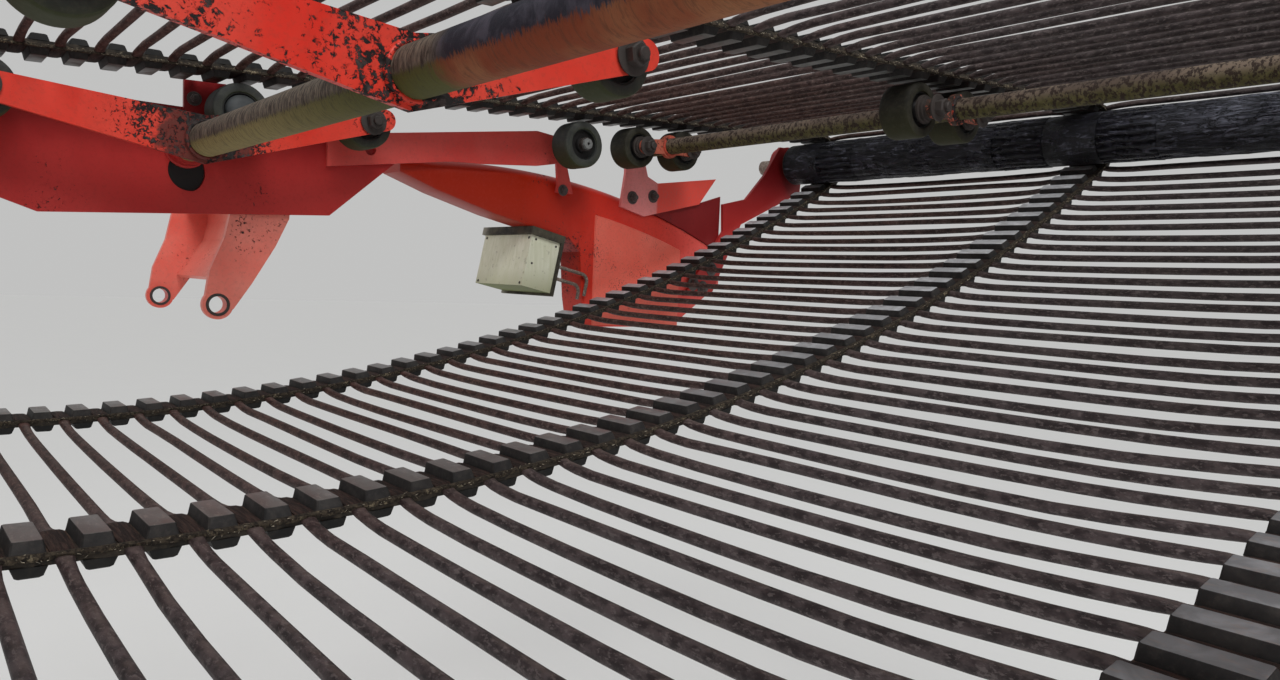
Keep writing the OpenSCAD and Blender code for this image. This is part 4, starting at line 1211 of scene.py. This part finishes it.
def make_lamp_screws():
    """Small screws at the corners of the lamp's casing."""
    turn = math.atan(LAMP_SLOPE)
    ahead = Vector((0.0, math.cos(turn), math.sin(turn)))
    up = Vector((0.0, -math.sin(turn), math.cos(turn)))
    corner = Vector((-PLATE_IN - LAMP_W, LAMP_Y, LAMP_Z)) - up * LID_T
    mesh = Mesh()
    for x in (10.0, LAMP_W - 10.0):
        for drop in (7.0, LAMP_H - 6.0):
            lathe(mesh, FRONT_SCREW, corner + X_AXIS * x - up * drop, -ahead, 12)
    for along, drop in ((12.0, 8.0), (14.0, 62.0), (LAMP_D - 10.0, 10.0)):
        lathe(mesh, SIDE_SCREW, corner + X_AXIS * LAMP_W + ahead * along - up * drop, X_AXIS, 12)
    mesh.make("lamp_screws", "conveyor", [DARK_STEEL], "lamp_rim")


make_welds()
for side in SIDES:
    make_side_trim(*side)
make_lamp_screws()

# Rails: box beams with a rounded inner edge on top, a flat gusset on the inner face and a thin dark panel
# above that is painted shade

RAIL_R, RAIL_TOP, RAIL_CROWN = 1714.0, 310.0, 558.0
RAIL_FROM, RAIL_TO, RAIL_BACK = 338, 1250, 888.0
# Rows of the rail's lower edge: place along the conveyor and height
RAIL_LOW = ((RAIL_FROM, 271), (427, 240), (560, 204), (760, 162), (790, 135), (800, 24), (812, -40),
            (1090, -40), (RAIL_TO, 70))
GUSSET_FROM, GUSSET_TO, GUSSET_FOOT, GUSSET_DROP = 832, 1104, -36, 66
# The panel's corners along the rail's top and its own lower edge, (y, z)
PANEL_TOP = (996, 1045, 1120, 1190, 1244)
PANEL_LOW = ((1244, 304), (1166, 279.5), (1060, 270.5), (996, 262.5))


def rail_top(y):
    return RAIL_TOP - RAIL_R + math.sqrt(RAIL_R ** 2 - (y - RAIL_CROWN) ** 2)


def rail_low(y):
    for (y0, z0), (y1, z1) in zip(RAIL_LOW, RAIL_LOW[1:]):
        if y <= y1:
            return z0 + (z1 - z0) * (y - y0) / (y1 - y0)


def rail_section(y):
    """The beam's section (x, z): round over the inner top edge, and half as round over the outer one."""
    top, low = rail_top(y), rail_low(y)
    r = min(26.0, (top - low) * 0.4)
    quarter = [math.radians(90.0 * k / 6) for k in range(7)]
    ring = [(PLATE_OUT + r - r * math.sin(a), top - r + r * math.cos(a)) for a in quarter]
    ring += [(PLATE_OUT, low + 5), (PLATE_OUT + 1.5, low + 1.5), (PLATE_OUT + 5, low),
             (RAIL_BACK - 5, low), (RAIL_BACK - 1.5, low + 1.5), (RAIL_BACK, low + 5)]
    r *= 0.5
    return ring + [(RAIL_BACK - r + r * math.cos(a), top - r + r * math.sin(a)) for a in quarter]


def make_rail(side_name, sign):
    mesh = Mesh()
    sections = []
    steps = {*range(RAIL_FROM, RAIL_TO + 1, 12), *(y for y, _ in RAIL_LOW), 793, 796}
    for y in sorted(steps):
        dent = 0.5 * noise.noise(Vector((y * 0.01, sign, 0)))
        sections.append([(sign * (x + (dent if x < 820 else 0)), y, z) for x, z in rail_section(y)])
    rings(mesh, sections)
    edge = [(GUSSET_FROM, GUSSET_FOOT)]
    edge += [(y, rail_top(y) - GUSSET_DROP) for y in (GUSSET_FROM, *range(880, 1100, 40), GUSSET_TO)]
    edge += [(GUSSET_TO, GUSSET_FOOT)]
    inner = [(sign * (PLATE_OUT - 3.2), y, z) for y, z in edge]
    outer = [(sign * (PLATE_OUT + 1.0), y + (-2.5 if y == GUSSET_FROM else 0), z + (2.5 if z > 0 else 0))
             for y, z in edge]
    n = len(edge)
    rim = [(i, (i + 1) % n, n + (i + 1) % n, n + i) for i in range(n)]
    mesh.add(inner + outer, [tuple(range(n))] + rim, 1)
    # The thin panel is a dark red sheet of painted shade over the gap above the rail
    panel = [(y, rail_top(y) - 8) for y in PANEL_TOP] + list(PANEL_LOW)
    slab(mesh, panel, sign * (PLATE_OUT + 1), sign * (PLATE_OUT + 7), 2)
    finishes = [RAIL_RED, GUSSET_RED, SHADE_RED]
    rail = mesh.make("rail_%s_beam" % side_name, "conveyor", finishes, "red_paint", smooth=40)
    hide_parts("rail_" + side_name)


for side in SIDES:
    make_rail(*side)

# Floor, light and camera

FLOOR_HALF, FLOOR_DROP = 40.0, 1.2
FLOOR_PALE = (0.74, 0.74, 0.73)
SOFT_LIGHT = 0.74
BACKDROP = (0.535, 0.535, 0.53)
# The photograph's focal length and width in pixels, and where its camera stands, in metres
FOCAL, PHOTO_WIDTH, SENSOR = 903.0, 1280.0, 36.0
CAMERA_AT = (0.892, -0.468, 0.072)
CAMERA_AXES = (Vector((0.647, 0.761, 0.042)), Vector((-0.076, 0.010, 0.997)), Vector((0.759, -0.648, 0.064)))


def make_floor():
    m = Material("floor_pale", 0.9, 0.1)
    m.colour(m.n.mix(m.grain(3.0, 2.0, 0.6), FLOOR_PALE, shade(FLOOR_PALE, 0.98)))
    z = cad_low.z - FLOOR_DROP
    corner_points = [(x * FLOOR_HALF, y * FLOOR_HALF, z) for x, y in ((-1, -1), (1, -1), (1, 1), (-1, 1))]
    data = bpy.data.meshes.new("floor")
    data.from_pydata(corner_points, [], [(0, 1, 2, 3)])
    data.materials.append(m.data)
    floor = bpy.data.objects.new("floor", data)
    bpy.context.scene.collection.objects.link(floor)


def make_world():
    """Soft light from all round, with a pale backdrop where it is seen straight or in a reflection."""
    world = bpy.context.scene.world or bpy.data.worlds.new("world")
    bpy.context.scene.world = world
    world.use_nodes = True
    world.node_tree.nodes.clear()
    n = Nodes(world.node_tree)
    ray = n.add("ShaderNodeLightPath").outputs
    mirrored = n.maths("MAXIMUM", ray["Is Glossy Ray"], ray["Is Transmission Ray"])
    seen = n.maths("MAXIMUM", ray["Is Camera Ray"], mirrored)
    soft = n.add("ShaderNodeBackground", {"Color": (1.0, 1.0, 1.0), "Strength": SOFT_LIGHT})
    pale = n.add("ShaderNodeBackground", {"Color": BACKDROP, "Strength": 1.0})
    both = n.add("ShaderNodeMixShader", {0: seen, 1: soft.outputs[0], 2: pale.outputs[0]})
    n.add("ShaderNodeOutputWorld", {"Surface": both.outputs[0]})


def area_light(name, at, toward, size, power):
    data = bpy.data.lights.new(name, "AREA")
    data.shape, data.size, data.energy = "DISK", size, power
    lamp = bpy.data.objects.new(name, data)
    lamp.location = at
    lamp.rotation_euler = (Vector(toward) - Vector(at)).to_track_quat("-Z", "Y").to_euler()
    bpy.context.scene.collection.objects.link(lamp)


def make_camera():
    data = bpy.data.cameras.new("camera")
    data.sensor_width = SENSOR
    data.lens = FOCAL / PHOTO_WIDTH * SENSOR
    data.clip_start, data.clip_end = 0.02, 200.0
    camera = bpy.data.objects.new("camera", data)
    turn = Matrix([axis.normalized() for axis in CAMERA_AXES]).transposed()
    camera.matrix_world = Matrix.Translation(CAMERA_AT) @ turn.to_4x4()
    bpy.context.scene.collection.objects.link(camera)
    bpy.context.scene.camera = camera


make_floor()
make_world()
area_light("key", (2.2, -0.6, 3.2), (0.0, 0.5, 0.1), 1.8, 112.0)
area_light("fill_low", (1.9, -1.7, 0.1), (-0.3, 0.7, 0.35), 1.2, 13.5)
make_camera()
bpy.context.scene.view_settings.view_transform = "Standard"
